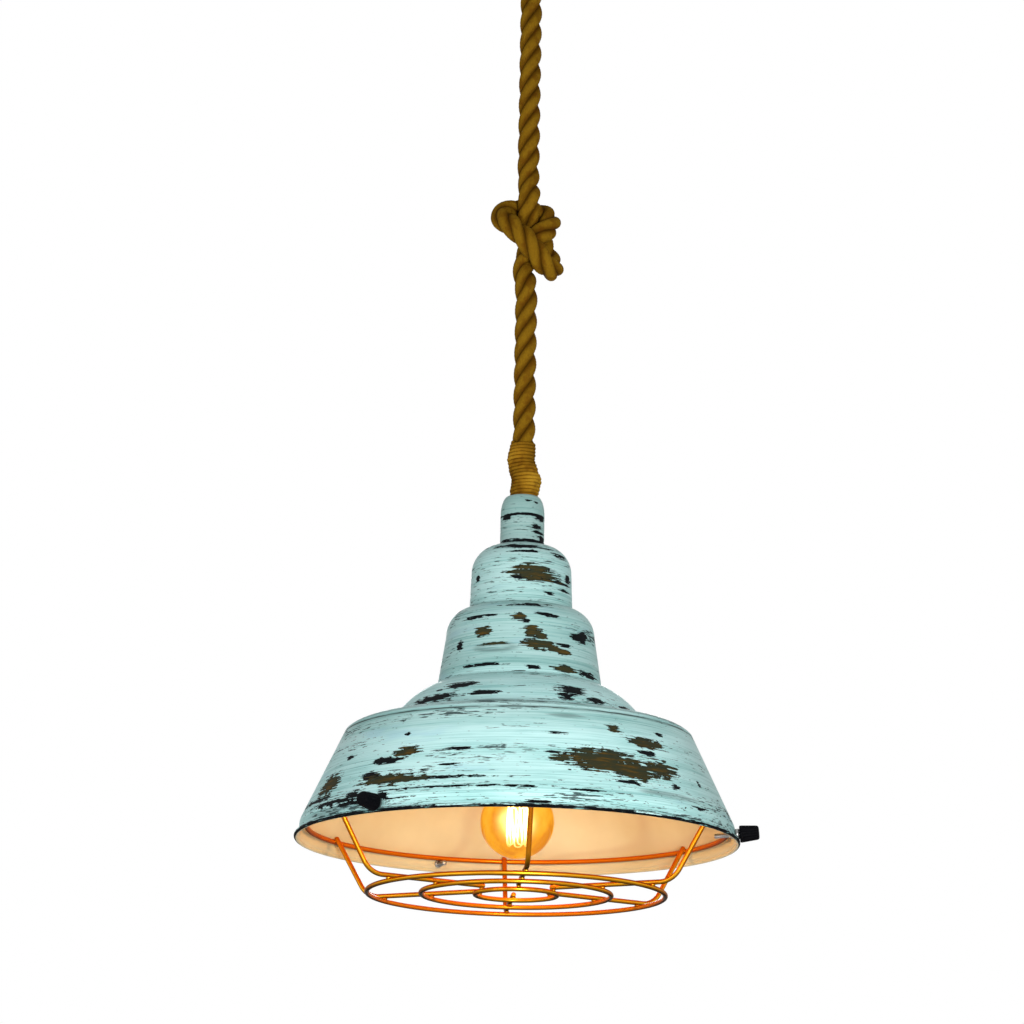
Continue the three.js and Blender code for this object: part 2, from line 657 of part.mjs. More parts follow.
/** Tapered knob with flutes cut along it and a blind bore for the shank. */
function screwKnob() {
  const knobEnd = knobStart + KNOB_LENGTH;
  const body = spin([
    point(0, knobStart),
    point(KNOB_INNER_RADIUS - 0.6, knobStart),
    point(KNOB_INNER_RADIUS, knobStart + 0.8),
    point(KNOB_OUTER_RADIUS, knobEnd - 1),
    point(KNOB_OUTER_RADIUS - 1, knobEnd),
    point(0, knobEnd),
  ], ROUND_SEGMENTS);
  const taper = Math.atan((KNOB_INNER_RADIUS - KNOB_OUTER_RADIUS) / KNOB_LENGTH);
  const flutes = Array.from({ length: KNOB_FLUTES }, (_, i) => {
    const reach = KNOB_INNER_RADIUS - KNOB_FLUTE_DEPTH + KNOB_FLUTE_RADIUS;
    return new THREE.CylinderGeometry(KNOB_FLUTE_RADIUS, KNOB_FLUTE_RADIUS, 3 * KNOB_LENGTH, 6)
      .rotateX(Math.PI / 2)
      .rotateY(-taper)
      .translate(reach, 0, knobStart)
      .rotateZ((i * 2 * Math.PI) / KNOB_FLUTES);
  });
  const bore = disc(SCREW_RADIUS + GAP, knobStart - 1, knobStart + KNOB_BORE_DEPTH, SMALL_SEGMENTS);
  return cut(body, ...flutes, bore);
}

for (const number of screwNumbers) {
  const frame = screwFrame(number);
  lamp.add(frame);
  piece(frame, `screw_bush_${number + 1}`, screwBush(frame), steel);
  piece(frame, `thumb_screw_shank_${number + 1}`, screwShank(), steel);
  piece(frame, `thumb_screw_knob_${number + 1}`, screwKnob(), blackPlastic);
}

// ---------------------------------------------------------------- ceiling fitting

const lugFace = Math.sqrt((CANOPY_RADIUS - SHEET - GAP) ** 2 - (BRACKET_WIDTH / 2) ** 2) - GAP;
const lugCentre = lugFace - BRACKET_THICKNESS / 2;

/** Flat bar with two slots, two lugs turned down for the canopy's screws, and a middle boss. */
function ceilingBracket() {
  const bar = block(2 * lugCentre + BRACKET_THICKNESS, BRACKET_WIDTH, -BRACKET_THICKNESS, 0);
  const lugs = [-1, 1].map((side) => block(BRACKET_THICKNESS, BRACKET_WIDTH * 0.6, -BRACKET_LUG, -1)
    .translate(side * lugCentre, 0, 0));
  const boss = disc(BRACKET_BOSS_RADIUS, -BRACKET_BOSS, -1);
  const slots = [-1, 1].map((side) => block(BRACKET_SLOT_LENGTH, BRACKET_SLOT_WIDTH, -BRACKET_BOSS, 1)
    .translate(side * BRACKET_SLOT_CENTRE, 0, 0));
  const lugHole = disc(CANOPY_SCREW_RADIUS + GAP, -CANOPY_RADIUS, CANOPY_RADIUS, SMALL_SEGMENTS)
    .rotateY(Math.PI / 2)
    .translate(0, 0, -CANOPY_SCREW_DEPTH);
  const studHole = disc(TUBE_RADIUS + GAP, -BRACKET_BOSS - 1, -BRACKET_THICKNESS, SMALL_SEGMENTS);
  return cut(join(bar, ...lugs, boss), ...slots, lugHole, studHole);
}

const studTop = -BRACKET_THICKNESS - GAP;
const socketTop = -BRACKET_BOSS - GAP - NUT_HEIGHT - GAP;
const socketCeiling = -SOCKET_BOTTOM + SOCKET_BORE_DEPTH;
const socketRadius = ROPE_RADIUS + GAP + SOCKET_WALL;

piece(model, 'ceiling_bracket', ceilingBracket(), steel);
piece(model, 'hanger_stud', disc(TUBE_RADIUS, socketCeiling + 1, studTop, SMALL_SEGMENTS), steel);
piece(model, 'stud_locknut',
  nut(NUT_FLATS, TUBE_RADIUS + GAP, -BRACKET_BOSS - GAP - NUT_HEIGHT, -BRACKET_BOSS - GAP), steel);

piece(model, 'rope_socket', spin([
  point(TUBE_RADIUS + GAP, socketTop),
  point(TUBE_RADIUS + GAP, socketCeiling),
  point(ROPE_RADIUS + GAP, socketCeiling),
  point(ROPE_RADIUS + GAP, -SOCKET_BOTTOM),
  point(socketRadius - 0.8, -SOCKET_BOTTOM),
  point(socketRadius, -SOCKET_BOTTOM + 0.8),
  point(socketRadius, socketTop),
]), steel);

function canopy() {
  const top = -0.5;
  const low = -CANOPY_HEIGHT;
  const outside = [
    point(CANOPY_RADIUS, top),
    ...arc(CANOPY_RADIUS - CANOPY_EDGE, low + CANOPY_EDGE, CANOPY_EDGE, CANOPY_EDGE, 0, -90, 4),
    point(socketRadius + GAP, low),
  ];
  const inside = offset(outside, SHEET).reverse();
  inside[0].x = outside[outside.length - 1].x;
  const shell = spin([...outside, ...inside], SHADE_SEGMENTS);
  const holes = disc(CANOPY_SCREW_RADIUS + GAP, -2 * CANOPY_RADIUS, 2 * CANOPY_RADIUS, SMALL_SEGMENTS)
    .rotateY(Math.PI / 2)
    .translate(0, 0, -CANOPY_SCREW_DEPTH);
  return cut(shell, holes);
}

piece(model, 'canopy', canopy(), paint);

function canopyScrew() {
  return spin([
    point(0, CANOPY_RADIUS - 8),
    point(CANOPY_SCREW_RADIUS, CANOPY_RADIUS - 8),
    point(CANOPY_SCREW_RADIUS, CANOPY_RADIUS + GAP),
    point(CANOPY_SCREW_HEAD, CANOPY_RADIUS + GAP),
    point(CANOPY_SCREW_HEAD, CANOPY_RADIUS + 1.5),
    point(CANOPY_SCREW_HEAD - 1.2, CANOPY_RADIUS + 2.8),
    point(0, CANOPY_RADIUS + 2.8),
  ], SMALL_SEGMENTS);
}

[0, Math.PI].forEach((turn, i) => {
  const screw = piece(model, `canopy_screw_${i + 1}`, canopyScrew().rotateY(Math.PI / 2), brass);
  screw.rotation.z = turn;
  screw.position.z = -CANOPY_SCREW_DEPTH;
});

/** Three-way connector block with its wire holes and screw wells. */
function terminalBlock() {
  const body = block(BLOCK_SIZE.x, BLOCK_SIZE.y, -BLOCK_SIZE.z, 0);
  const pitch = BLOCK_SIZE.x / 3;
  const wells = [-1, 0, 1].map((way) => disc(2, -BLOCK_SIZE.z - 1, -BLOCK_SIZE.z / 2, 8)
    .translate(way * pitch, 0, 0));
  const wireHoles = [-1, 0, 1].map((way) => disc(1.6, -BLOCK_SIZE.y, BLOCK_SIZE.y, 8)
    .rotateX(Math.PI / 2)
    .translate(way * pitch, 0, -BLOCK_SIZE.z / 2));
  return cut(body, ...wells, ...wireHoles)
    .rotateZ(Math.PI / 2)
    .translate(BLOCK_OFFSET, 0, -BRACKET_THICKNESS - GAP);
}

piece(model, 'terminal_block', terminalBlock(), ceramic);

// ---------------------------------------------------------------- rope

/** A straight stretch of rope with a flat lower end, and a domed or flat upper end. */
function ropeLength(low, high, domed) {
  const crown = domed
    ? arc(0, high - ROPE_RADIUS, ROPE_RADIUS, ROPE_RADIUS, 0, 90, 4)
    : [point(ROPE_RADIUS, high), point(0, high)];
  crown[crown.length - 1].x = 0;
  return spin([point(0, low), point(ROPE_RADIUS, low), ...crown], ROPE_SIDES);
}

/** Middle line of the overhand knot, from above it to below it, measured from its middle. */
const KNOT_ROUTE = [
  [0, 0, 66], [0, -0.5, 58], [0.5, -3, 49], [0.5, -7.5, 39], [0.5, -9.5, 29.5], [1, -5.5, 21.5],
  [3, 3.5, 16.5],
  [8.5, 11.5, 10.5], [14, 14.5, 1.5], [18, 13, -8.5], [21, 9.5, -17], [22, 2.5, -24],
  [19.5, -6, -28], [14, -12, -25.5], [8, -15.5, -18.5], [1, -17, -10.5], [-6, -16.5, -3],
  [-13, -13.5, 4], [-19, -8.5, 10.5], [-22, -2, 18], [-19.5, 5, 25.5], [-12, 10, 30],
  [-2, 12.5, 31.5], [8, 12.5, 30], [16, 8.5, 24.5], [19, 1, 16], [15.5, -6, 7.5], [9.5, -8, 1],
  [4.5, -3, -4.5], [1, 4.5, -10], [-1.5, 7.5, -17], [-2, 7, -24], [-1.5, 3.5, -33],
  [-0.5, 0.5, -42], [0, 0, -50], [0, 0, -56],
].map(([x, y, z]) => new THREE.Vector3(x, y, KNOT_HEIGHT + z));

const knotTop = KNOT_ROUTE[0].z;
const knotBottom = KNOT_ROUTE[KNOT_ROUTE.length - 1].z;
const ropeTopStart = -SOCKET_BOTTOM - GAP;
const ropeUpperStart = ropeTopStart - ROPE_TOP_LENGTH - GAP;

piece(model, 'rope_end', ropeLength(-SOCKET_BOTTOM, socketCeiling - GAP, false), jute);
piece(model, 'rope_top', ropeLength(ropeUpperStart + GAP, ropeTopStart, true), jute);
piece(model, 'rope_upper', ropeLength(knotTop - DROP + GAP, ropeUpperStart, true), jute);
piece(lamp, 'rope_knot',
  wire(new THREE.CatmullRomCurve3(KNOT_ROUTE).getPoints(KNOT_STEPS), KNOT_ROPE_RADIUS, KNOT_SIDES), jute);
piece(lamp, 'rope_lower',
  ropeLength(ropeCupBase + ROPE_CUP_BASE + GAP, knotBottom - GAP, false), jute);

export default model;
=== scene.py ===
# %% [markdown]
# # A rope pendant lamp, finished around a fixed frame
#
# The lamp is a stepped metal shade in rubbed turquoise paint, hung on a thick laid rope with one
# overhand knot. A wire guard is held in its mouth by three thumb screws, and a clear amber globe
# bulb burns behind it. The sizes, the places and the joints come from the frame, which is loaded
# first and never moved. Everything below gives that frame its real surfaces.

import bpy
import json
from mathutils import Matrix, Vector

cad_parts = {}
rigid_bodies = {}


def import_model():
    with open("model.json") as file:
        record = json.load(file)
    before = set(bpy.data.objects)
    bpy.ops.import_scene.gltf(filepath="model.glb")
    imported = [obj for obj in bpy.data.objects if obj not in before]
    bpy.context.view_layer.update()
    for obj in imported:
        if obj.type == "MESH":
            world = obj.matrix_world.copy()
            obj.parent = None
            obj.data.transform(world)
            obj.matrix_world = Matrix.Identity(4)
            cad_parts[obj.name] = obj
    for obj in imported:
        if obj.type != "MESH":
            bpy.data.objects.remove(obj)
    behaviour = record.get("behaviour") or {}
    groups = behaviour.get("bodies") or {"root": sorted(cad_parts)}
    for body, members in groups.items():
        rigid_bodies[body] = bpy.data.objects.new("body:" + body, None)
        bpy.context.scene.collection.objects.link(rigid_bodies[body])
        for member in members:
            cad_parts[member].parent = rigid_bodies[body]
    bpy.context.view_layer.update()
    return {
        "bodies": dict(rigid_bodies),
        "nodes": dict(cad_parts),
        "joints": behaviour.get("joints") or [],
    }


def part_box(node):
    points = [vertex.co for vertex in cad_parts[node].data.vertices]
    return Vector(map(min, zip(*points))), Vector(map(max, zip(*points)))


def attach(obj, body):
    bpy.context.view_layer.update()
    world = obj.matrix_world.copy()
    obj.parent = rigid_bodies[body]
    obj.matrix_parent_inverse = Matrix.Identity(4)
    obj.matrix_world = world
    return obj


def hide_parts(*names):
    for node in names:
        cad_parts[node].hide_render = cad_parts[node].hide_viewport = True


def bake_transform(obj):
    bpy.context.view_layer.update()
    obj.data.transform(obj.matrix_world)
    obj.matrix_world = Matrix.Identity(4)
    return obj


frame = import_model()

# %% Helpers that the cells share
import json
import math

import bmesh
import bpy
import numpy as np
from mathutils import Matrix, Vector, noise

MM = 0.001
TAU = 2 * math.pi


def low(node, axis):
    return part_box(node)[0][axis]


def high(node, axis):
    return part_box(node)[1][axis]


MOUTH = low("shade", 2)             # plane of the shade's mouth
RIM_RADIUS = high("shade", 0)
print(f"mouth plane at {MOUTH:.4f} m, rim {2 * RIM_RADIUS:.3f} m across")

# %% [markdown]
# ## The camera
#
# The lamp hangs above eye level: the eye is lower than the mouth of the shade and looks up into it.
# A long lens far away keeps the tiers of the shade nearly parallel, as on the real thing. The
# camera comes first.

# %% Place the camera
EYE = Vector((-0.1503, -2.3810, -1.1836))
LENS = 104.5                        # millimetres on a 36 mm sensor
TURN = math.radians(-3.4)           # to the right of straight ahead
LIFT = math.radians(15.27)
ROLL = math.radians(1.05)

camera_data = bpy.data.cameras.new("camera")
camera_data.lens = LENS
camera_data.sensor_width = 36
camera = bpy.data.objects.new("camera", camera_data)
camera.matrix_world = (Matrix.Translation(EYE)
                       @ Matrix.Rotation(TURN, 4, "Z")
                       @ Matrix.Rotation(math.pi / 2 + LIFT, 4, "X")
                       @ Matrix.Rotation(ROLL, 4, "Z"))
bpy.context.scene.collection.objects.link(camera)
bpy.context.scene.camera = camera
print("camera looks along", camera.matrix_world.to_3x3() @ Vector((0, 0, -1)))

# %% [markdown]
# ## From points to meshes
#
# Nearly every part of this lamp is a surface swept along something: metal spun round an axis, wire
# bent along a line, strands laid round a rope's middle. So two tools do most of the work. One turns
# a grid of points into a mesh, and the other carries a ring of points along a path.

# %% Grid meshes
def mesh_object(name, points, faces):
    """A new smooth object from a list of points and faces."""
    mesh = bpy.data.meshes.new(name)
    mesh.from_pydata([tuple(p) for p in points], [], faces)
    mesh.validate()
    mesh.update()
    mesh.shade_smooth()
    made = bpy.data.objects.new(name, mesh)
    bpy.context.scene.collection.objects.link(made)
    return made


def grid_faces(rows, columns, close_rows=False):
    """Quads between neighbouring rows of a grid whose columns go round."""
    faces = []
    for i in range(rows if close_rows else rows - 1):
        here, above = i * columns, (i + 1) % rows * columns
        for j in range(columns):
            beside = (j + 1) % columns
            faces.append((here + j, here + beside, above + beside, above + j))
    return faces


def tube_grid(path, radius, sides, closed):
    """Rings of points round a path, with a frame that never twists on its own."""
    path = np.asarray(path, float)
    count = len(path)
    radii = np.broadcast_to(radius, (count,))
    normals, sides_of = steady_frames(path, closed)
    angles = np.arange(sides) * TAU / sides
    rings = (path[:, None, :]
             + radii[:, None, None] * (np.cos(angles)[None, :, None] * normals[:, None, :]
                                       + np.sin(angles)[None, :, None] * sides_of[:, None, :]))
    return rings.reshape(-1, 3)


def steady_frames(path, closed=False):
    """Two directions across a path at each of its points, carried along it without twist."""
    if closed:
        tangents = np.roll(path, -1, 0) - np.roll(path, 1, 0)
    else:
        tangents = np.gradient(path, axis=0)
    tangents /= np.linalg.norm(tangents, axis=1)[:, None]
    normal = np.cross(tangents[0], (0.0, 1.0, 0.0))
    if np.linalg.norm(normal) < 0.1:
        normal = np.cross(tangents[0], (1.0, 0.0, 0.0))
    normals = [normal / np.linalg.norm(normal)]
    for tangent in tangents[1:]:
        carried = normals[-1] - tangent * np.dot(normals[-1], tangent)
        normals.append(carried / np.linalg.norm(carried))
    normals = np.array(normals)
    return normals, np.cross(tangents, normals)


print("grid helpers ready")

# %% Round wire
END_REACH = 0.35                    # how far a wire's domed end goes past its line, in radii
END_WIDTH = 0.55                    # and how wide it still is there


def wire_object(name, path, radius, sides, closed=False):
    """A round wire along a path, with domed ends where it is open."""
    path = np.asarray(path, float)
    radii = np.full(len(path), radius)
    if not closed:
        ends = [path[0] - path[1], path[-1] - path[-2]]
        first = path[0] + ends[0] / np.linalg.norm(ends[0]) * radius * END_REACH
        last = path[-1] + ends[1] / np.linalg.norm(ends[1]) * radius * END_REACH
        path = np.vstack([first, path, last])
        radii = np.r_[radius * END_WIDTH, radii, radius * END_WIDTH]
    points = tube_grid(path, radii, sides, closed)
    faces = grid_faces(len(path), sides, close_rows=closed)
    if not closed:
        last_ring = (len(path) - 1) * sides
        faces.append(tuple(reversed(range(sides))))
        faces.append(tuple(range(last_ring, last_ring + sides)))
    return mesh_object(name, points, faces)


print("wire helper ready")

# %% Spun metal
def arc(centre, radii, first, last, steps):
    """Points (radius, height) on an ellipse's arc between two angles in degrees."""
    angles = np.radians(np.linspace(first, last, steps + 1))
    return [(centre[0] + radii[0] * math.cos(a), centre[1] + radii[1] * math.sin(a)) for a in angles]


def bulge(a, b, rise, steps):
    """Points on a circular arc from a to b that bulges to the left of the line between them."""
    a, b = np.array(a), np.array(b)
    half = np.linalg.norm(b - a) / 2
    radius = (half * half + rise * rise) / (2 * rise)
    along = (b - a) / np.linalg.norm(b - a)
    centre = (a + b) / 2 + np.array((-along[1], along[0])) * (rise - radius)
    start = math.atan2(a[1] - centre[1], a[0] - centre[0])
    sweep = 2 * math.asin(half / radius)
    return [(centre[0] + radius * math.cos(start - sweep * i / steps),
             centre[1] + radius * math.sin(start - sweep * i / steps)) for i in range(steps + 1)]


def fill_in(outline, step):
    """The same outline with extra points, so that no stretch is longer than the step."""
    filled = [outline[0]]
    for before, after in zip(outline, outline[1:]):
        length = math.dist(before, after)
        pieces = max(1, math.ceil(length / step))
        filled += [tuple(np.array(before) + (np.array(after) - np.array(before)) * k / pieces)
                   for k in range(1, pieces + 1)]
    return filled


def spin(name, outline, segments, closed=True, base=0.0):
    """A body turned on the Z axis from (radius, height) points, in metres."""
    outline = np.array(outline, float)
    angles = np.arange(segments) * TAU / segments
    rings = np.stack([np.outer(outline[:, 0], np.cos(angles)), np.outer(outline[:, 0], np.sin(angles)),
                      np.repeat(outline[:, 1:2] + base, segments, 1)], 2)
    faces = grid_faces(len(outline), segments, close_rows=closed)
    made = mesh_object(name, rings.reshape(-1, 3), faces)
    weld_axis(made)
    return made


def weld_axis(made):
    """Joins the points that fall together on the axis, and drops the faces that collapse there."""
    shape = bmesh.new()
    shape.from_mesh(made.data)
    on_axis = [v for v in shape.verts if math.hypot(v.co.x, v.co.y) < 1e-7]
    bmesh.ops.remove_doubles(shape, verts=on_axis, dist=1e-7)
    bmesh.ops.recalc_face_normals(shape, faces=shape.faces)
    shape.to_mesh(made.data)
    shape.free()
    made.data.shade_smooth()


print("spinning helpers ready")

# %% [markdown]
# ## The rope's route
#
# The rope runs straight down from its socket, through one overhand knot, and on into the neck of
# the shade. A knot is easiest to believe when it is a real one: the route below goes behind the
# standing part, round it, and back through its own loop. The points are listed, and a smooth
# curve goes through them. Its length is what a tape along the rope would read.

# %% Lay out the route
ROPE_RADIUS = (high("rope_lower", 0) - low("rope_lower", 0)) / 2
KNOT_MIDDLE = MOUTH + 0.5185
HEAD_END = -0.0655                  # where the bending head of the rope meets the long part
ROPE_FOOT = low("rope_lower", 2)

KNOT_ROUTE = [
    (0, 0, .066), (0, -.0005, .058), (.0005, -.003, .049), (.0005, -.0075, .039),
    (.0005, -.0095, .0295), (-.0005, -.006, .0205), (.0018, .003, .0155), (.0085, .0115, .0105),
    (.014, .0145, .0015), (.018, .013, -.0085), (.021, .0095, -.017), (.022, .0025, -.024),
    (.0195, -.006, -.028), (.014, -.012, -.0255), (.008, -.0155, -.0185), (.001, -.017, -.0105),
    (-.006, -.0165, -.002), (-.0122, -.0138, .005), (-.018, -.009, .0115), (-.022, -.002, .018),
    (-.0195, .005, .0255), (-.012, .01, .03), (-.002, .0125, .0315), (.008, .0125, .03),
    (.016, .0085, .0245), (.019, .001, .016), (.0155, -.006, .0075), (.0095, -.008, .001),
    (.0045, -.003, -.0045), (.001, .0045, -.01), (-.0015, .0075, -.017), (-.002, .007, -.024),
    (-.0015, .0035, -.033), (-.0005, .0005, -.042), (0, 0, -.05), (0, 0, -.056),
]


def smooth_route(points, step):
    """A centripetal Catmull-Rom curve through the points, cut into equal steps."""
    points = [Vector(p) for p in points]
    points = [2 * points[0] - points[1], *points, 2 * points[-1] - points[-2]]
    fine = []
    for p0, p1, p2, p3 in zip(points, points[1:], points[2:], points[3:]):
        t1 = math.sqrt((p1 - p0).length)
        t2 = t1 + math.sqrt((p2 - p1).length)
        t3 = t2 + math.sqrt((p3 - p2).length)
        for t in np.linspace(t1, t2, 24, endpoint=False):
            a1 = p0.lerp(p1, t / t1)
            a2 = p1.lerp(p2, (t - t1) / (t2 - t1))
            a3 = p2.lerp(p3, (t - t2) / (t3 - t2))
            b1 = a1.lerp(a2, t / t2)
            b2 = a2.lerp(a3, (t - t1) / (t3 - t1))
            fine.append(b1.lerp(b2, (t - t1) / (t2 - t1)))
    fine.append(points[-2])
    fine = np.array(fine)
    along = np.r_[0, np.cumsum(np.linalg.norm(np.diff(fine, axis=0), axis=1))]
    marks = np.linspace(0, along[-1], round(along[-1] / step) + 1)
    return np.stack([np.interp(marks, along, fine[:, k]) for k in range(3)], 1), along[-1]


knot_points = [(x, y, KNOT_MIDDLE + z) for x, y, z in KNOT_ROUTE]
route, rope_length = smooth_route([(0, 0, HEAD_END), *knot_points, (0, 0, ROPE_FOOT)], 1.2 * MM)
print(f"the rope's long part measures {rope_length:.3f} m along its middle")

# %% [markdown]
# ## Laying the strands
#
# A laid rope is three strands wound round each other, and each strand is a bundle of thin yarns
# wound the other way. So the strands here are three tubes on a helix round the route, and the
# yarns are shallow ridges that run round each strand the opposite way. The ridges are real shape,
# not a picture, so they catch light at every angle.

# %% Sweep three strands along a route
LAY = 57 * MM                       # length in which a strand goes once round
STRAND_OFFSET = 4.55 * MM
STRAND_RADIUS = 5.05 * MM
STRAND_SIDES = 36
YARNS = 9
YARN_DEPTH = 0.22 * MM
YARN_LAY = 34 * MM
# painted shade: the strands are darker towards their valleys and where two turns of the rope touch
VALLEY, CREST = 0.60, 0.98          # distance from the rope's middle, in rope radii
TOUCHING, APART = 0.88, 1.30        # gap to another turn of the rope, in rope radii
IN_SHADOW = 0.15                    # tint that is left where two turns touch


def lay_strands(name, path, start_length, squeeze=None):
    """One mesh of three yarn-ridged strands round a path. Lengths count from the rope's top."""
    path = np.asarray(path, float)
    steps = np.r_[0, np.cumsum(np.linalg.norm(np.diff(path, axis=0), axis=1))]
    along = start_length + steps
    across, beside = steady_frames(path)
    points, faces, shade_tint = [], [], []
    squeeze = np.ones(len(path)) if squeeze is None else squeeze
    others = [path[np.abs(steps - s) > 3 * ROPE_RADIUS] for s in steps]
    for strand in range(3):
        angle = TAU * (along / LAY + strand / 3)
        out = np.cos(angle)[:, None] * across + np.sin(angle)[:, None] * beside
        uneven = np.array([noise.noise(Vector((0.0, strand * 7.0, s / 0.021))) for s in along])
        offset = (STRAND_OFFSET * squeeze)[:, None]
        middle = path + out * offset
        radius = STRAND_RADIUS * squeeze * (1 + 0.035 * uneven)
        normals, sides_of = steady_frames(middle)
        roll = np.arctan2((out * sides_of).sum(1), (out * normals).sum(1))
        for i in range(len(path)):
            first = len(points)
            theta = roll[i] + np.arange(STRAND_SIDES) * TAU / STRAND_SIDES
            turn = theta - roll[i] - TAU * along[i] / YARN_LAY
            ridge = np.abs(np.sin(YARNS / 2 * turn))
            reach = radius[i] - YARN_DEPTH * (1 - ridge)
            ring = (middle[i] + reach[:, None] * (np.cos(theta)[:, None] * normals[i]
                                                  + np.sin(theta)[:, None] * sides_of[i]))
            points.extend(ring)
            depth = np.linalg.norm(ring - path[i], axis=1) / ROPE_RADIUS
            gap = np.full(STRAND_SIDES, 2.0)
            if len(others[i]):
                gap = np.linalg.norm(ring[:, None] - others[i][None], axis=2).min(1) / ROPE_RADIUS
            # painted shade on the strands: dark in the valleys, and a painted shadow where another turn
            # is close
            clear = np.clip((gap - TOUCHING) / (APART - TOUCHING), 0, 1)
            painted_strand_shade = np.clip((depth - VALLEY) / (CREST - VALLEY), 0, 1)
            shade_tint.extend(painted_strand_shade * (IN_SHADOW + (1 - IN_SHADOW) * clear))
            if i:
                before = first - STRAND_SIDES
                faces += [(before + j, before + (j + 1) % STRAND_SIDES,
                           first + (j + 1) % STRAND_SIDES, first + j) for j in range(STRAND_SIDES)]
        ring_start = len(points) - STRAND_SIDES
        top_start = len(points) - len(path) * STRAND_SIDES
        faces.append(tuple(range(ring_start, ring_start + STRAND_SIDES)))
        faces.append(tuple(reversed(range(top_start, top_start + STRAND_SIDES))))
    made = mesh_object(name, points, faces)
    outward = made.data.attributes.new("painted_strand_shade", "FLOAT", "POINT")
    outward.data.foreach_set("value", np.array(shade_tint, np.float32))
    return made


head_top = high("rope_end", 2) - 1 * MM
head_path = np.stack([np.zeros(40), np.zeros(40), np.linspace(head_top, HEAD_END, 40)], 1)
head_length = head_top - HEAD_END
from_knot = np.abs(route[:, 2] - KNOT_MIDDLE)
drawn_tight = 1 + 0.02 * np.clip((50 * MM - from_knot) / (20 * MM), 0, 1)

rope_head = lay_strands("rope_head", head_path, 0.0)
rope = lay_strands("rope", route, head_length, drawn_tight)
print("strand faces:", len(rope.data.polygons))

# %% [markdown]
# ## Binding the rope to the neck
#
# Where the rope goes into the shade it is whipped: one long thin twine is wound round it, turn
# beside turn, so that the lay can't open. The twine follows the lumps of the strands under it, so
# the binding leans to one side and then to the other instead of being a clean cylinder.

# %% Wind the whipping
WHIP_FOOT = low("neck_whipping", 2)
WHIP_TOP = high("neck_whipping", 2) + 6 * MM    # the last turns run out a little up the rope
TWINE_RADIUS = 1.6 * MM
TWINE_PITCH = 2.95 * MM
NECK_MOUTH = high("neck_cup", 2)


def whipping_radius(angle, height):
    """Radius of the twine's middle line round the bound rope."""
    share = (height - NECK_MOUTH) / (WHIP_TOP - NECK_MOUTH)
    body = np.interp(share, (-0.2, 0, 0.12, 0.3, 0.5, 0.8, 1),
                     (9.4, 9.8, 10.8, 11.2, 10.6, 9.9, 8.6)) * MM
    lean = np.interp(share, (-0.2, 0, 0.30, 0.5, 0.66, 1), (0.2, 0.6, 2.9, 0.8, 2.1, 0.3)) * MM
    side = np.interp(share, (0, 0.36, 0.66, 1), (0.3, 0.0, math.pi, math.pi * 1.1))
    return body + lean * math.cos(angle - side)


def wind_twine():
    turns = (WHIP_TOP - WHIP_FOOT - 2 * TWINE_RADIUS) / TWINE_PITCH
    line = []
    for i in range(round(turns * 60) + 1):
        angle = i * TAU / 60
        height = WHIP_FOOT + TWINE_RADIUS + TWINE_PITCH * i / 60
        wander = noise.noise(Vector((math.cos(angle) * 2, math.sin(angle) * 2, height * 260)))
        radius = whipping_radius(angle, height) + 0.45 * MM * wander
        height += 0.7 * MM * noise.noise(Vector((math.cos(angle), math.sin(angle) + 9, height * 90)))
        line.append((radius * math.cos(angle), radius * math.sin(angle), height))
    return wire_object("neck_twine", line, TWINE_RADIUS, sides=9)


neck_twine = wind_twine()
print("twine turns:", round((WHIP_TOP - WHIP_FOOT) / TWINE_PITCH))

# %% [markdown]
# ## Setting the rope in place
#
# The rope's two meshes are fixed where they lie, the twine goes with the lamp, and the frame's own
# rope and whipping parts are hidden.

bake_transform(rope_head)
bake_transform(rope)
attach(neck_twine, "lamp")
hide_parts("rope_end", "rope_top")
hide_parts("rope_upper", "rope_knot", "rope_lower")
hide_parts("neck_whipping")
print("rope declared, diameter", 2 * ROPE_RADIUS)

# %% [markdown]
# ## Writing materials
#
# A material here is a small network of nodes, all of them formulas. One helper adds a node, sets
# its plain values and links the rest, so that each finish below reads as a short recipe.

# %% Node helpers
def new_finish(name):
    """A material, its node tree and its surface shader."""
    material = bpy.data.materials.new(name)
    material.use_nodes = True
    return material, material.node_tree, material.node_tree.nodes["Principled BSDF"]


def add(tree, kind, sockets=None, **settings):
    """One node. Sockets are set by name or number, with a value or with another node's output."""
    made = tree.nodes.new(kind)
    for name, value in settings.items():
        setattr(made, name, value)
    for name, value in (sockets or {}).items():
        socket = made.inputs[name]
        if isinstance(value, bpy.types.NodeSocket):
            tree.links.new(value, socket)
        else:
            socket.default_value = value
    return made


def maths(tree, operation, a, b=0.0):
    return add(tree, "ShaderNodeMath", {0: a, 1: b}, operation=operation).outputs[0]


def centred(tree, value, strength):
    """A noise that lies round 0.5, moved to lie round 0 and made stronger or weaker."""
    return maths(tree, "MULTIPLY", maths(tree, "SUBTRACT", value, 0.5), strength)


def stretch(tree, vector, scale):
    """A vector with each part scaled."""
    return add(tree, "ShaderNodeVectorMath", {0: vector, 1: scale}, operation="MULTIPLY").outputs[0]


def speckle(tree, vector, scale, detail, roughness=0.5):
    """Fractal noise from 0 to 1 on a vector that is scaled part by part."""
    made = add(tree, "ShaderNodeTexNoise",
               {"Vector": stretch(tree, vector, scale), "Scale": 1.0, "Detail": detail,
                "Roughness": roughness})
    return made.outputs["Fac"]


print("node helpers ready")

# %% Colour and mask helpers
def ramp(tree, value, stops):
    """A colour for each value: stops are (position, colour)."""
    made = add(tree, "ShaderNodeValToRGB", {"Fac": value})
    band = made.color_ramp
    while len(band.elements) < len(stops):
        band.elements.new(0.5)
    for element, (position, colour) in zip(band.elements, stops):
        element.position = position
        element.color = (*colour, 1)
    return made.outputs["Color"]


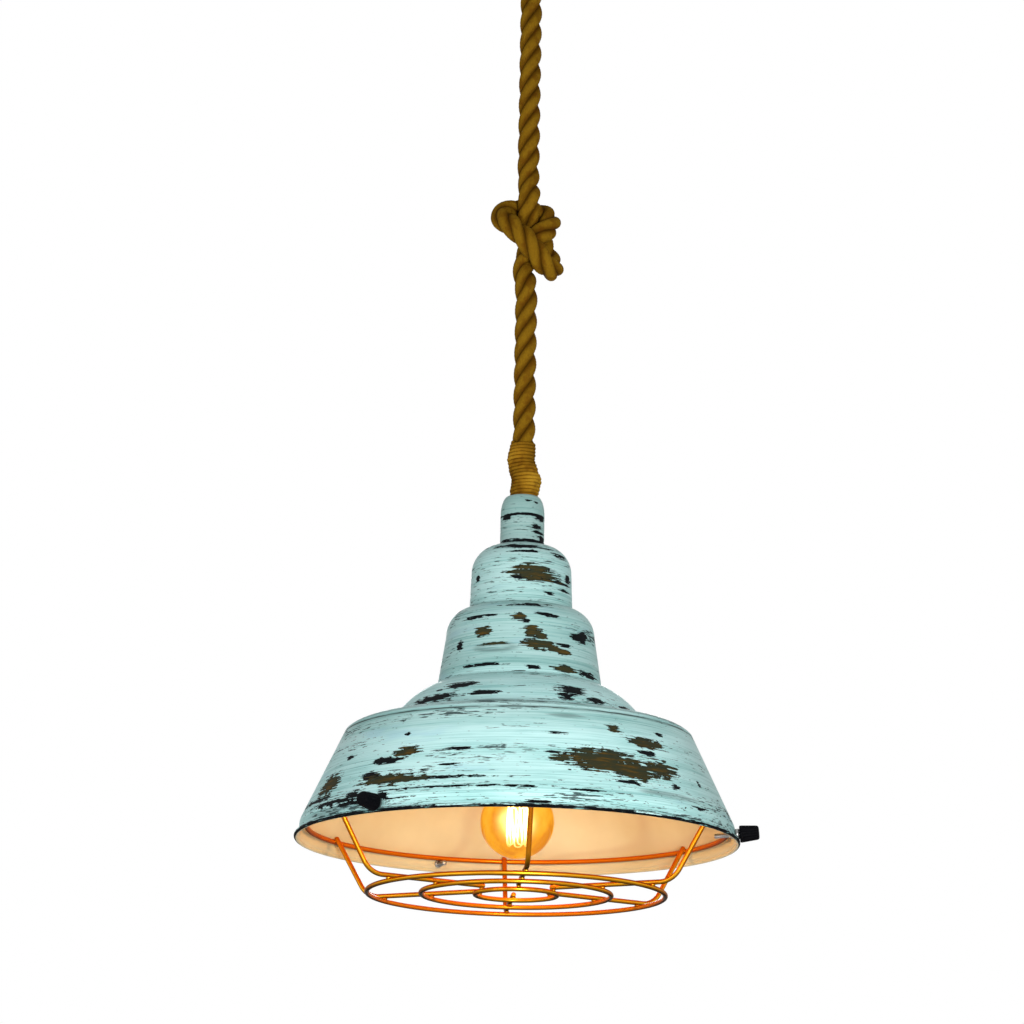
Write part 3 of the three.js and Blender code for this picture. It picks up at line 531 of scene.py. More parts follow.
def step_up(tree, value, first, last):
    """0 below the first value, 1 above the last, and smooth in between."""
    made = add(tree, "ShaderNodeMapRange", {"Value": value, "From Min": first, "From Max": last},
               interpolation_type="SMOOTHSTEP")
    return made.outputs["Result"]


def blend_colours(tree, share, a, b):
    """Colour a, turning into colour b as the share goes from 0 to 1."""
    made = tree.nodes.new("ShaderNodeMix")
    made.data_type = "RGBA"
    for socket, value in ((made.inputs[0], share), (made.inputs[6], a), (made.inputs[7], b)):
        if isinstance(value, bpy.types.NodeSocket):
            tree.links.new(value, socket)
        else:
            socket.default_value = value if isinstance(value, float) else (*value, 1)
    return made.outputs[2]


print("colour helpers ready")

# %% Surface helpers
def raise_surface(tree, shader, height, distance, strength):
    """Bump: the height lifts the surface by up to the distance."""
    bump = add(tree, "ShaderNodeBump", {"Height": height, "Distance": distance, "Strength": strength})
    tree.links.new(bump.outputs["Normal"], shader.inputs["Normal"])


def attribute(tree, name, output="Fac"):
    """A value that was stored on the mesh."""
    return add(tree, "ShaderNodeAttribute", attribute_name=name).outputs[output]


def place(tree):
    """Where a point lies, in metres."""
    return add(tree, "ShaderNodeTexCoord").outputs["Object"]


def wear(piece, material):
    piece.data.materials.clear()
    piece.data.materials.append(material)


print("surface helpers ready")

# %% [markdown]
# ## Jute
#
# Jute is dull, dry and golden brown. Its colour carries painted shade: nearly black in the valleys
# between the strands and where two turns of the rope touch, so the colour follows how far out each
# point lies and how near it comes to another turn. Fine noise stands for the loose fibres.

# %% Finish the rope and the twine
RUSSET = (0.115, 0.036, 0.002)      # slow red-brown blotches in the fibre


def jute(name, dark, middle, light):
    material, tree, shader = new_finish(name)
    fibre = speckle(tree, place(tree), (900, 900, 420), 4, 0.6)
    patchy = speckle(tree, place(tree), (120, 120, 60), 3)
    # painted shade: darker in the valleys and where turns touch, from the values stored on the mesh
    painted_strand_shade = attribute(tree, "painted_strand_shade")
    lit = maths(tree, "ADD", maths(tree, "MULTIPLY", painted_strand_shade, 0.72),
                maths(tree, "ADD", maths(tree, "MULTIPLY", fibre, 0.32),
                      maths(tree, "MULTIPLY", patchy, 0.22)))
    colour = ramp(tree, maths(tree, "SUBTRACT", lit, 0.18), [(0.0, dark), (0.55, middle), (0.95, light)])
    blotch = step_up(tree, speckle(tree, place(tree), (170, 170, 110), 2), 0.50, 0.66)
    colour = blend_colours(tree, maths(tree, "MULTIPLY", blotch, 0.45), colour, RUSSET)
    tree.links.new(colour, shader.inputs["Base Color"])
    shader.inputs["Roughness"].default_value = 0.9
    shader.inputs["Specular IOR Level"].default_value = 0.03
    raise_surface(tree, shader, fibre, 0.4 * MM, 0.6)
    return material


rope_jute = jute("rope_jute", (0.022, 0.008, 0.0005), (0.140, 0.063, 0.003), (0.28, 0.150, 0.008))
twine_jute = jute("twine_jute", (0.10, 0.048, 0.002), (0.31, 0.148, 0.009), (0.50, 0.28, 0.022))
for piece in (rope, rope_head):
    wear(piece, rope_jute)
wear(neck_twine, twine_jute)
# painted shade on the twine: darker where it lies close to the rope under it
painted_strand_shade = neck_twine.data.attributes.new("painted_strand_shade", "FLOAT", "POINT")
reach = np.array([math.hypot(v.co.x, v.co.y) for v in neck_twine.data.vertices])
painted_strand_shade.data.foreach_set("value", np.clip((reach - 9.5 * MM) / (4 * MM), 0, 1).astype(np.float32))
print("jute on", rope.name, rope_head.name, neck_twine.name)

# %% [markdown]
# ## The shade
#
# The shade is spun: one disc of sheet metal pressed over a wooden form on a lathe. So its whole
# shape is one outline turned round the axis. The outline goes down the outside, round the rolled
# rim and back up inside at the thickness of the sheet. It is cut finely along its length, because
# the worn patches of the paint are stored on its points.

# %% Draw the outline
SHEET = 1.0 * MM
RIM_BEAD = 1.7 * MM
WALL_RADIUS = RIM_RADIUS - 4.1 * MM  # the upright edge under the cone
LIP_FOOT = 7.5 * MM                 # where the upright edge flares out to the rolled rim
CONE_FOOT = (WALL_RADIUS, 13 * MM)
CONE_TOP = (141.5 * MM, 87 * MM)
EDGE = (123.5 * MM, 88.8 * MM)      # where the shoulder starts to round over
SHOULDER = (107.7 * MM, 89.4 * MM)
LOW_CREASE = (67.3 * MM, 128 * MM)
MID_WALL = (61 * MM, 170 * MM)
MID_CREASE = (42.5 * MM, 191.5 * MM)
UPPER_WALL = (41.3 * MM, 224 * MM)
CROWN_FLAT = 20 * MM
CROWN = high("shade", 2) - MOUTH
BORE = 5.3 * MM                     # hole for the drop tube
GROOVE_DROP = 2.5 * MM              # middle of the pressed line, under the cone's top
GROOVE_HALF = 1.1 * MM
GROOVE_DEPTH = 0.7 * MM
print(f"the cone is {(CONE_TOP[1] - CONE_FOOT[1]) / MM:.0f} mm high, the shade {CROWN / MM:.1f} mm")

# %% Shape the outline's stretches
def on_cone(height):
    """Radius of the outside of the cone at a height above the mouth."""
    share = max((height - CONE_FOOT[1]) / (CONE_TOP[1] - CONE_FOOT[1]), 0)
    return CONE_FOOT[0] + share * (CONE_TOP[0] - CONE_FOOT[0])


def flared_lip():
    """The upright edge and its hollow curve out to the rolled rim."""
    out, low_end = RIM_RADIUS - RIM_BEAD - .7 * MM, 2 * RIM_BEAD - .2 * MM
    soft = [(on_cone(CONE_FOOT[1] + z * MM) - d * MM, CONE_FOOT[1] + z * MM)
            for z, d in ((3, 0), (1.5, .08), (0, .25), (-1.5, .05))]
    centre_height = LIP_FOOT + 1 * MM
    hollow = arc((out, centre_height), (out - WALL_RADIUS, centre_height - low_end), 180, 270, 14)
    return [*soft, *hollow]


def pressed_line():
    """The shallow rounded groove round the top of the cone."""
    line = []
    for share in np.linspace(-1, 1, 11):
        height = CONE_TOP[1] - GROOVE_DROP - share * GROOVE_HALF
        depth = GROOVE_DEPTH * (1 + math.cos(math.pi * share)) / 2
        line.append((on_cone(height) - depth, height))
    return line


def shade_outside():
    crown_radii = (UPPER_WALL[0] - CROWN_FLAT, CROWN - UPPER_WALL[1])
    mid_radii = (MID_WALL[0] - MID_CREASE[0], MID_CREASE[1] - MID_WALL[1])
    # every corner from the crown down to the lip
    return fill_in([
        (BORE, CROWN),
        *arc((CROWN_FLAT, UPPER_WALL[1]), crown_radii, 90, 0, 24),
        MID_CREASE,
        *arc((MID_CREASE[0], MID_WALL[1]), mid_radii, 72, 0, 20),
        *bulge(LOW_CREASE, SHOULDER, 5.4 * MM, 24),
        *bulge(EDGE, CONE_TOP, 3.2 * MM, 12),
        *pressed_line(),
        *flared_lip(),
    ], 1.5 * MM)


def thicken(outline, distance):
    """The same outline moved inwards by the sheet's thickness."""
    points = np.array(outline)
    along = np.gradient(points, axis=0)
    along /= np.linalg.norm(along, axis=1)[:, None]
    return points + distance * np.stack([along[:, 1], -along[:, 0]], 1)


outside = shade_outside()
rim_roll = arc((RIM_RADIUS - RIM_BEAD, RIM_BEAD), (RIM_BEAD, RIM_BEAD), 105, -200, 26)
roll_centre = np.array((RIM_RADIUS - RIM_BEAD, RIM_BEAD))
inside = thicken(outside, SHEET)[::-1]
inside = inside[np.linalg.norm(inside - roll_centre, axis=1) > RIM_BEAD + .1 * MM]
inside[-1][0] = BORE
print(len(outside), "outside points,", len(rim_roll), "round the rim,", len(inside), "inside")

# %% [markdown]
# The metal is spun once more, now as a mesh. Three holes for the screw bushes are cut through the
# cone, at the places and angles that the frame's screw joints give.

# %% Spin the shade and bore it
SHADE_SEGMENTS = 288
SCREW_JOINTS = [j for j in frame["joints"] if j["name"].startswith("screw_") and j["type"] == "hinge"]
BUSH_RADIUS = 3.4 * MM


def along_axis(joint):
    """A matrix that turns +Z to a joint's axis and moves the origin to its point."""
    axis = Vector(joint["axis"])
    return Matrix.Translation(joint["pos_m"]) @ axis.to_track_quat("Z", "Y").to_matrix().to_4x4()


def bore(piece, cutters):
    """Cuts each cutter out of a piece, for good."""
    for cutter in cutters:
        cut = piece.modifiers.new("cut", "BOOLEAN")
        cut.operation = "DIFFERENCE"
        cut.object = cutter
        cut.solver = "EXACT"
    bpy.context.view_layer.update()
    graph = bpy.context.evaluated_depsgraph_get()
    finished = bpy.data.meshes.new_from_object(piece.evaluated_get(graph), depsgraph=graph,
                                               preserve_all_data_layers=True)
    piece.modifiers.clear()
    piece.data = finished
    for cutter in cutters:
        bpy.data.objects.remove(cutter)


whole_outline = [*outside, *rim_roll, *inside]
shade = spin("shade_shell", whole_outline, SHADE_SEGMENTS, base=MOUTH)
ROLL_PAINTED = 10                   # rows of the roll that still carry the outside paint
ROLL_WORN = round(0.6 * len(rim_roll))      # rows of the roll that have no enamel
row_sides = np.zeros(len(whole_outline), int)
row_sides[len(outside) + ROLL_PAINTED:] = 2
row_sides[len(outside) + ROLL_WORN:] = 1
print("shade points:", len(shade.data.vertices))

# %% [markdown]
# ## Where the paint is worn
#
# The paint was brushed on over a dark primer and rubbed back by hand, round the shade. So there
# are two kinds of wear. Thin dark streaks lie everywhere and can come from noise. The large bare
# patches are this lamp's own, so each has a row in a list: its angle from the front, its height,
# and half its length and height. The mesh keeps only how deep inside a patch each point is. The
# ragged edge comes later from the material. The patches on the far side are invented.

# %% List the worn patches
# (degrees from the front towards the right, height above the mouth, half length, half height,
#  1 for bare metal and 0 for dark primer), lengths in millimetres
BARE_PATCHES = [
    (19.5, 42, 27, 8.8, 1), (28, 36.5, 21, 8, 1), (38, 40.5, 18, 6.5, 1), (8, 40.5, 9, 2, 1),
    (26, 26.4, 13, 2, 0), (42.5, 28.3, 7, 2.5, 0), (35.5, 61.8, 18, 4, 1), (35.5, 53.6, 9, 3.4, 0),
    (6, 46.4, 7, 1.1, 0), (39, 46.8, 7, 1.3, 0), (44, 11.3, 2, 1.4, 0), (1, 4.8, 13, 1.1, 0),
    (25.5, 70.5, 5, 2.4, 1), (6.5, 63, 9, 1.2, 0),
    (15, 16, 15, 1.1, 0), (-2, 16.6, 18, 1.1, 0), (51, 14, 12, 1.6, 0),
    (-36.5, 49, 10, 4.5, 1), (-42, 43, 15, 3.4, 0), (-38, 27, 30, 4.8, 1), (-46, 31, 12, 4, 0),
    (-20, 25, 32, 1.3, 0), (-66, 31, 14, 9, 1), (-20.5, 48.5, 9, 1.6, 0), (-22, 35.7, 9, 1.2, 0),
    (-38, 64, 3, 1.6, 0), (-21, 17, 62, 0.8, 0), (-60, 14, 36, 2.2, 0),
    (-70, 20, 28, 1.8, 0), (-48, 10.5, 40, 1.4, 0), (-50.5, 18, 9, 3.8, 0), (-41, 12, 6, 4, 0),
    (-39, 13, 3, 3, 0), (-60, 52, 6, 2, 0), (55.5, 36.4, 3, 2.6, 0), (72, 20, 9, 2, 0),
    (44, 72, 6, 1.6, 0),
    (-8, 239.5, 20, 2.4, 0), (0, 234.5, 15, 1.2, 0), (48, 234, 9, 2.4, 0), (10, 220, 13, 3, 1),
    (14, 215, 20, 5, 1), (-6, 212, 7, 3, 0), (42, 211, 14, 1.6, 0), (55, 205, 9, 1.5, 0),
    (30, 200, 7, 1.2, 0), (62, 216, 6, 3, 0), (4, 186, 20, 1.8, 0), (-62, 215, 3, 3, 0),
    (-34, 176, 17, 1.7, 0), (17, 177, 12, 1.8, 0), (-5, 175, 6, 2.8, 1), (-1, 171, 5, 1.5, 0),
    (-32.5, 163, 7, 4, 1), (5, 163, 7, 4, 1), (12, 158, 4, 2.4, 1), (9, 151.3, 12, 4.2, 1),
    (22, 148.5, 7, 1.8, 1), (-22, 152, 12, 1.2, 1), (28, 147, 8, 2, 1), (46, 162, 9, 4.2, 0),
    (52, 165, 7, 3, 0), (-54, 153, 4, 4.5, 0), (-29.5, 134.5, 34, 1.3, 0), (5.5, 132.1, 8, 1.8, 0),
    (29.5, 132.6, 11, 3, 1), (52.5, 132.1, 16, 2.6, 0), (30, 153, 8, 1.5, 0),
    (-35, 114.4, 15, 3.2, 0), (-45, 103.5, 24, 3.6, 0), (-21, 104.6, 12, 2.2, 0),
    (-47, 111.4, 4, 1.2, 0), (21.5, 109.9, 14, 4, 0), (18, 103, 8, 2.6, 0),
    (33.5, 102.2, 10, 2.4, 0), (53.5, 101.8, 9, 1.6, 0),
    (120, 50, 40, 9, 1), (140, 32, 24, 5, 1), (165, 66, 16, 5, 0), (-150, 44, 34, 8, 1),
    (-120, 24, 28, 4, 0), (-168, 20, 40, 2.4, 0), (-100, 58, 14, 5, 1), (105, 22, 22, 2.4, 0),
    (150, 112, 18, 4, 0), (-130, 104, 22, 4, 0), (-170, 118, 14, 3, 1), (100, 108, 14, 4, 0),
    (130, 160, 15, 5, 1), (-140, 152, 18, 4, 1), (-100, 142, 14, 3, 0), (175, 146, 18, 2, 0),
    (-115, 216, 16, 5, 1), (130, 212, 14, 4, 1), (170, 228, 14, 2, 0), (-90, 186, 18, 1.8, 0),
]
SOILED_PATCHES = [
    (11, 78, 18, 1.8, 0), (40, 20, 40, 3, 0), (-15, 96, 30, 3, 0), (-60, 8, 40, 3, 0),
    (-22, 149, 22, 5, 0),
]
NECK_PATCHES = [
    (0, 248.6, 400, 1.7, 0), (0, 271.5, 30, 1.2, 0), (48, 270, 8, 2.6, 0), (-50, 270, 5, 2.6, 0),
    (36, 262, 5, 2.6, 0), (46, 257, 7, 2.2, 0), (58, 252.5, 6, 3, 0), (12, 283.5, 3, 1, 0),
    (36, 282.5, 3, 1.2, 0), (150, 262, 8, 3, 0), (-120, 266, 8, 3, 0), (180, 250, 12, 2, 0),
]


def patch_depth(points, patches, kind):
    """For each point, how deep it lies in the patches of one kind: 1 in the middle, 0 at an edge."""
    angle = np.arctan2(points[:, 0], -points[:, 1])
    radius = np.hypot(points[:, 0], points[:, 1])
    height = points[:, 2] - MOUTH
    deepest = np.full(len(points), -1.0)
    for degrees, middle, half_length, half_height, metal in patches:
        if metal != kind:
            continue
        turned = (angle - math.radians(degrees) + math.pi) % TAU - math.pi
        sideways = turned * radius / (half_length * MM)
        upright = (height - middle * MM) / (half_height * MM)
        deepest = np.maximum(deepest, 1 - np.sqrt(sideways ** 2 + upright ** 2))
    return deepest


print(len(BARE_PATCHES) + len(NECK_PATCHES), "patches")

# %% [markdown]
# Streaks in brushed paint run round the shade, on a steep wall and on a flat dome alike. Noise in
# plain space would run down the dome like rays. So each point also stores how far along the
# outline it is, and the noise is stretched round the axis and squeezed along the outline.

# %% Say how the wear and the painted shade follow the height
# each pair is heights above the mouth in millimetres, and the value at each of them
BARE_RIM = ((1.2, 2.2, 3.2, 12), (0.8, 0.1, -0.55, -1.0))
RUBBED_LOW_DOWN = ((2, 12, 24, 60, 80, 150), (0.9, 0.6, 0.15, -0.3, -0.1, 0.1))
# painted shade: the paint is darker high up on the shade, just under the cone's top and over the low
# crease
PAINTED_SHADE_BY_HEIGHT = ((62, 80, 92, 125, 135, 185, 200, 240, 252),
                  (0.0, 0.26, 0.04, 0.04, 0.32, 0.30, 0.23, 0.27, 0.50))
# degrees from the front towards the right, and the painted shade at each of them, on the cone only
PAINTED_SHADE_SIDE = ((40, 62, 110, 140), (0, 0.26, 0.26, 0))
CONE_END = 88
# (height, half width, strength)
CREASES = ((127.6, 3, 0.5), (191, 2.5, 0.5), (89.5, 1.5, 0.5))
DIRT_LINES = ((84.5, 0.9, 1.0), (247.2, 1.2, 1.0), (88.5, 1.4, 0.35))


def bands(height, lines):
    """Soft bands round the shade: the sum of one bell curve for each line."""
    return sum(strong * np.exp(-((height - middle) / half) ** 2) for middle, half, strong in lines)


print(len(CREASES), "creases and", len(DIRT_LINES), "dirt lines")

# %% Store the paint's coordinates on the mesh
def store(mesh, name, values, kind="FLOAT"):
    kept = mesh.attributes.new(name, kind, "POINT")
    values = np.asarray(values, np.float32)
    kept.data.foreach_set("vector" if kind == "FLOAT_VECTOR" else "value", values.ravel())


def outline_length(points, outline):
    """How far along the outline each point lies, from its height and radius."""
    line = np.array(outline)
    along = np.r_[0, np.cumsum(np.linalg.norm(np.diff(line, axis=0), axis=1))]
    found = np.empty(len(points))
    here = np.stack([np.hypot(points[:, 0], points[:, 1]), points[:, 2] - MOUTH], 1)
    for first in range(0, len(points), 4000):
        part = here[first:first + 4000]
        distance = np.linalg.norm(part[:, None, :] - line[None], axis=2)
        found[first:first + 4000] = along[distance.argmin(1)]
    return found


def prepare_paint(piece, outline, patches):
    mesh = piece.data
    points = np.empty(len(mesh.vertices) * 3)
    mesh.vertices.foreach_get("co", points)
    points = points.reshape(-1, 3)
    run = outline_length(points, outline)
    store(mesh, "brushed", np.stack([points[:, 0], points[:, 1], run], 1), "FLOAT_VECTOR")
    height = (points[:, 2] - MOUTH) / MM
    store(mesh, "metal", patch_depth(points, patches, 1))
    store(mesh, "primer", np.maximum(patch_depth(points, patches, 0), np.interp(height, *BARE_RIM)))
    store(mesh, "rubbed", np.interp(height, *RUBBED_LOW_DOWN) + bands(height, CREASES))
    smear = np.clip(patch_depth(points, SOILED_PATCHES, 0) * 1.6, 0, 0.55)
    store(mesh, "dirt", np.maximum(bands(height, DIRT_LINES), smear))
    # painted shade: darker high up and on the right side of the cone
    side = np.degrees(np.arctan2(points[:, 0], -points[:, 1]))
    shaded_side = np.interp(side, *PAINTED_SHADE_SIDE) * (height < CONE_END)
    store(mesh, "painted_shade", np.maximum(np.interp(height, *PAINTED_SHADE_BY_HEIGHT), shaded_side))


prepare_paint(shade, whole_outline, BARE_PATCHES)
for side in range(3):
    shade.data.materials.append(None)
shade.data.polygons.foreach_set("material_index", np.repeat(row_sides, SHADE_SEGMENTS).astype(np.int32))
cutters = []
for joint in SCREW_JOINTS:
    cutter = spin("drill", [(0, -16 * MM), (BUSH_RADIUS, -16 * MM), (BUSH_RADIUS, 6 * MM), (0, 6 * MM)],
                  32, closed=False)
    cutter.matrix_world = along_axis(joint)
    cutters.append(cutter)
bore(shade, cutters)
print("bored shade has", len(shade.data.polygons), "faces")

# %% [markdown]
# ## Rubbed turquoise paint
#
# The finish is layers: bare metal, dark primer, turquoise paint with faint brush lines in it, and
# on top the grime of years. Painted shade darkens the paint high up on the shade, in the folds and
# on the right side of the cone. Each layer shows where the one above is rubbed through. The paint
# is thick enough to leave a small edge, so the same mask that changes the colour also lowers the
# surface. The recipe has three parts: where the paint is gone, what colour the paint is, and what
# colour the bare metal is.

# %% Name the paint's colours
PAINT_LIGHT = (0.60, 0.91, 0.90)
PAINT_MIDDLE = (0.40, 0.73, 0.71)
PAINT_DEEP = (0.22, 0.50, 0.49)
PAINT_BLUE = (0.36, 0.66, 0.80)
PRIMER = (0.002, 0.003, 0.004)
METAL_DARK = (0.030, 0.036, 0.021)
METAL_BROWN = (0.042, 0.037, 0.014)
METAL_GOLD = (0.115, 0.062, 0.010)
GRIME = (0.035, 0.055, 0.050)
# the tone that the painted shade darkens the paint towards
PAINTED_SHADE_TONE = (0.10, 0.14, 0.11)
print("paint goes from", PAINT_DEEP, "to", PAINT_LIGHT)


# %% Find where the paint is gone
def ragged_patches(tree, where):
    """The worn patches with torn edges: how deep in metal, and the shares of metal and primer."""
    comb = speckle(tree, where, (24, 24, 760), 3, 0.6)
    jag = speckle(tree, where, (130, 130, 330), 4, 0.65)
    rag = maths(tree, "ADD", centred(tree, comb, 2.5), centred(tree, jag, 2.3))
    in_metal = maths(tree, "ADD", attribute(tree, "metal"), rag)
    metal = step_up(tree, in_metal, 0.02, 0.07)
    primer = step_up(tree, maths(tree, "ADD", attribute(tree, "primer"), rag), 0.02, 0.08)
    border = step_up(tree, in_metal, -0.16, -0.09)
    return in_metal, metal, maths(tree, "MAXIMUM", primer, border)


def thin_scratches(tree, where):
    """Short dashes and specks round the shade, in crowds, more of them where it is rubbed."""
    rubbed = attribute(tree, "rubbed")
    dashes = speckle(tree, where, (80, 80, 800), 3, 0.6)
    crowd = speckle(tree, where, (9, 9, 75), 2)
    drawn = maths(tree, "ADD", dashes, centred(tree, crowd, 0.75))
    drawn = maths(tree, "ADD", drawn, maths(tree, "MULTIPLY", rubbed, 0.085))
    specks = speckle(tree, where, (160, 160, 800), 2, 0.6)
    specks = maths(tree, "ADD", specks, maths(tree, "MULTIPLY", rubbed, 0.05))
    scratches = maths(tree, "MAXIMUM", step_up(tree, drawn, 0.655, 0.69),
                      step_up(tree, specks, 0.70, 0.73))
    return maths(tree, "MULTIPLY", scratches, 0.85)


print("wear masks ready")


# %% Mix the paint and the bare metal
def painted(tree, where, lines):
    """The paint's colour: three tones along its brush lines, cooler clouds, painted shade and grime."""
    cloud = speckle(tree, where, (11, 11, 90), 4, 0.6)
    tone = maths(tree, "ADD", maths(tree, "MULTIPLY", lines, 0.6), maths(tree, "MULTIPLY", cloud, 0.4))
    tone = maths(tree, "SUBTRACT", tone, maths(tree, "MULTIPLY", attribute(tree, "rubbed"), 0.025))
    paint = ramp(tree, tone, [(0.35, PAINT_DEEP), (0.44, PAINT_MIDDLE), (0.56, PAINT_LIGHT)])
    cool = step_up(tree, speckle(tree, where, (12, 12, 50), 3, 0.6), 0.58, 0.75)
    paint = blend_colours(tree, maths(tree, "MULTIPLY", cool, 0.4), paint, PAINT_BLUE)
    # painted shade: the paint darkens high up, in the folds and on the right side of the cone
    paint = blend_colours(tree, attribute(tree, "painted_shade"), paint, PAINTED_SHADE_TONE)
    soiled = maths(tree, "MULTIPLY", attribute(tree, "dirt"),
                   step_up(tree, speckle(tree, where, (30, 30, 500), 3, 0.6), 0.25, 0.55))
    return blend_colours(tree, soiled, paint, GRIME)


def bare_metal(tree, where, in_metal):
    """Dark steel with brown and gold stains, brighter towards the middle of a patch."""
    shine = maths(tree, "ADD", speckle(tree, where, (50, 50, 330), 4, 0.65),
                  maths(tree, "MULTIPLY", in_metal, 0.10))
    return ramp(tree, shine, [(0.44, METAL_DARK), (0.58, METAL_BROWN), (0.74, METAL_GOLD)])


print("paint and metal ready")


# %% Finish the outside
def rubbed_paint():
    material, tree, shader = new_finish("rubbed_paint")
    where = attribute(tree, "brushed", "Vector")
    in_metal, metal, primer = ragged_patches(tree, where)
    dark = maths(tree, "MAXIMUM", primer, thin_scratches(tree, where))
    gone = maths(tree, "MAXIMUM", metal, dark)
    lines = speckle(tree, where, (9, 9, 1100), 4, 0.7)
    under = blend_colours(tree, metal, PRIMER, bare_metal(tree, where, in_metal))
    colour = blend_colours(tree, gone, painted(tree, where, lines), under)
    tree.links.new(colour, shader.inputs["Base Color"])
    rough = add(tree, "ShaderNodeMapRange", {"Value": gone, "To Min": 0.42, "To Max": 0.75})
    tree.links.new(rough.outputs["Result"], shader.inputs["Roughness"])
    shader.inputs["Specular IOR Level"].default_value = 0.08
    film = maths(tree, "ADD", maths(tree, "SUBTRACT", 1.0, gone), maths(tree, "MULTIPLY", lines, 0.35))
    raise_surface(tree, shader, film, 0.12 * MM, 0.5)
    return material


paint_outside = rubbed_paint()
print("rubbed paint has", len(paint_outside.node_tree.nodes), "nodes")

# %% [markdown]
# The inside is a cream enamel that throws the light down. Thin brownish lines are painted on it as
# the soft shadows of the guard's wires. The rolled rim has lost its paint all round, as every rim does.

# %% Finish the inside and the rim
def enamel():
    material, tree, shader = new_finish("cream_enamel")
    cloud = speckle(tree, place(tree), (14, 14, 14), 4)
    # painted shadows: thin brownish lines that stand for the soft shadows of the guard's wires
    painted_ring_shadows = maths(tree, "ABSOLUTE", centred(tree, speckle(tree, place(tree), (7, 7, 12), 0.5), 1.0))
    painted_ring_shadows = maths(tree, "MULTIPLY", step_up(tree, painted_ring_shadows, 0.045, 0.0), 0.30)
    base = ramp(tree, cloud, [(0.3, (0.52, 0.43, 0.235)), (0.7, (0.61, 0.54, 0.325))])
    tree.links.new(blend_colours(tree, painted_ring_shadows, base, (0.42, 0.28, 0.17)), shader.inputs["Base Color"])
    shader.inputs["Roughness"].default_value = 0.45
    raise_surface(tree, shader, speckle(tree, place(tree), (220, 220, 220), 3), 0.05 * MM, 0.4)
    return material


def worn_rim():
    material, tree, shader = new_finish("worn_rim")
    around = speckle(tree, place(tree), (70, 70, 500), 4, 0.6)
    tree.links.new(ramp(tree, around, [(0.54, PRIMER), (0.62, (0.03, 0.045, 0.045)),
                                       (0.70, PAINT_DEEP)]), shader.inputs["Base Color"])
    shader.inputs["Roughness"].default_value = 0.7
    shader.inputs["Specular IOR Level"].default_value = 0.04
    raise_surface(tree, shader, around, 0.08 * MM, 0.5)
    return material


cream = enamel()
rim_black = worn_rim()
for side, material in enumerate((paint_outside, cream, rim_black)):
    shade.data.materials[side] = material
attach(shade, "lamp")
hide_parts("shade")
print("faces by material:", [sum(f.material_index == k for f in shade.data.polygons) for k in range(3)])

# %% [markdown]
# ## The neck cup and the canopy
#
# Both are small spun shells in the same paint. The cup stands on the crown and hides the nut and
# the rope's lower socket, and the canopy hides the ceiling fitting.

# %% Spin the neck cup
NECK_RADIUS = 18.3 * MM
NECK_MOUTH_RADIUS = 12.5 * MM
NECK_SHOULDER = 16 * MM             # height over which the cup rounds in to its mouth
cup_foot = low("neck_cup", 2) - MOUTH
cup_top = high("neck_cup", 2) - MOUTH


def cup_shoulder(inset, first, last, steps):
    """The round top of the cup, or the same line further in."""
    centre = (NECK_MOUTH_RADIUS, cup_top - NECK_SHOULDER)
    radii = (NECK_RADIUS - NECK_MOUTH_RADIUS - inset, NECK_SHOULDER - inset)
    return arc(centre, radii, first, last, steps)


cup_outside = fill_in([
    *cup_shoulder(0, 90, 0, 28),
    (NECK_RADIUS, cup_foot + 4 * MM), (NECK_RADIUS + .8 * MM, cup_foot)], 0.5 * MM)
cup_inside = [(NECK_RADIUS - SHEET, cup_foot), *cup_shoulder(SHEET, 0, 90, 14)]
neck_cup = spin("neck_cap", [*cup_outside, *cup_inside], 128, base=MOUTH)
prepare_paint(neck_cup, [*cup_outside, *cup_inside], NECK_PATCHES)
wear(neck_cup, paint_outside)
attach(neck_cup, "lamp")
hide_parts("neck_cup")
print("neck cup:", len(neck_cup.data.vertices), "points")

# %% Spin the canopy
CANOPY_RADIUS = 53 * MM
CANOPY_EDGE = 9 * MM
SCREW_BORE = 2.3 * MM
canopy_top = high("canopy", 2)
canopy_foot = low("canopy", 2)
canopy_mouth = 13.3 * MM
canopy_outside = fill_in([
    (CANOPY_RADIUS, canopy_top),
    *arc((CANOPY_RADIUS - CANOPY_EDGE, canopy_foot + CANOPY_EDGE),
         (CANOPY_EDGE, CANOPY_EDGE), 0, -90, 16),
    (canopy_mouth, canopy_foot)], 1.5 * MM)
canopy_inside = [
    (canopy_mouth, canopy_foot + SHEET),
    *arc((CANOPY_RADIUS - CANOPY_EDGE, canopy_foot + CANOPY_EDGE),
         (CANOPY_EDGE - SHEET, CANOPY_EDGE - SHEET), -90, 0, 8),
    (CANOPY_RADIUS - SHEET, canopy_top)]
CANOPY_PATCHES = [(-20, 787, 14, 4, 1), (30, 795, 12, 3, 0), (100, 790, 16, 5, 1), (-110, 784, 18, 4, 0),
                  (170, 792, 14, 4, 0), (60, 778, 10, 3, 0)]
canopy = spin("canopy_shell", [*canopy_outside, *canopy_inside], 160)
canopy_outline = [(r, z - MOUTH) for r, z in (*canopy_outside, *canopy_inside)]
prepare_paint(canopy, canopy_outline, CANOPY_PATCHES)
screw_height = sum(c.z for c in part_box("canopy_screw_1")) / 2
drill = spin("drill", [(0, -0.07), (SCREW_BORE, -0.07), (SCREW_BORE, 0.07), (0, 0.07)], 24, closed=False)
drill.matrix_world = Matrix.Translation((0, 0, screw_height)) @ Matrix.Rotation(math.pi / 2, 4, "Y")
bore(canopy, [drill])
wear(canopy, paint_outside)
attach(canopy, "root")
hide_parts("canopy")
print("canopy:", len(canopy.data.vertices), "points")

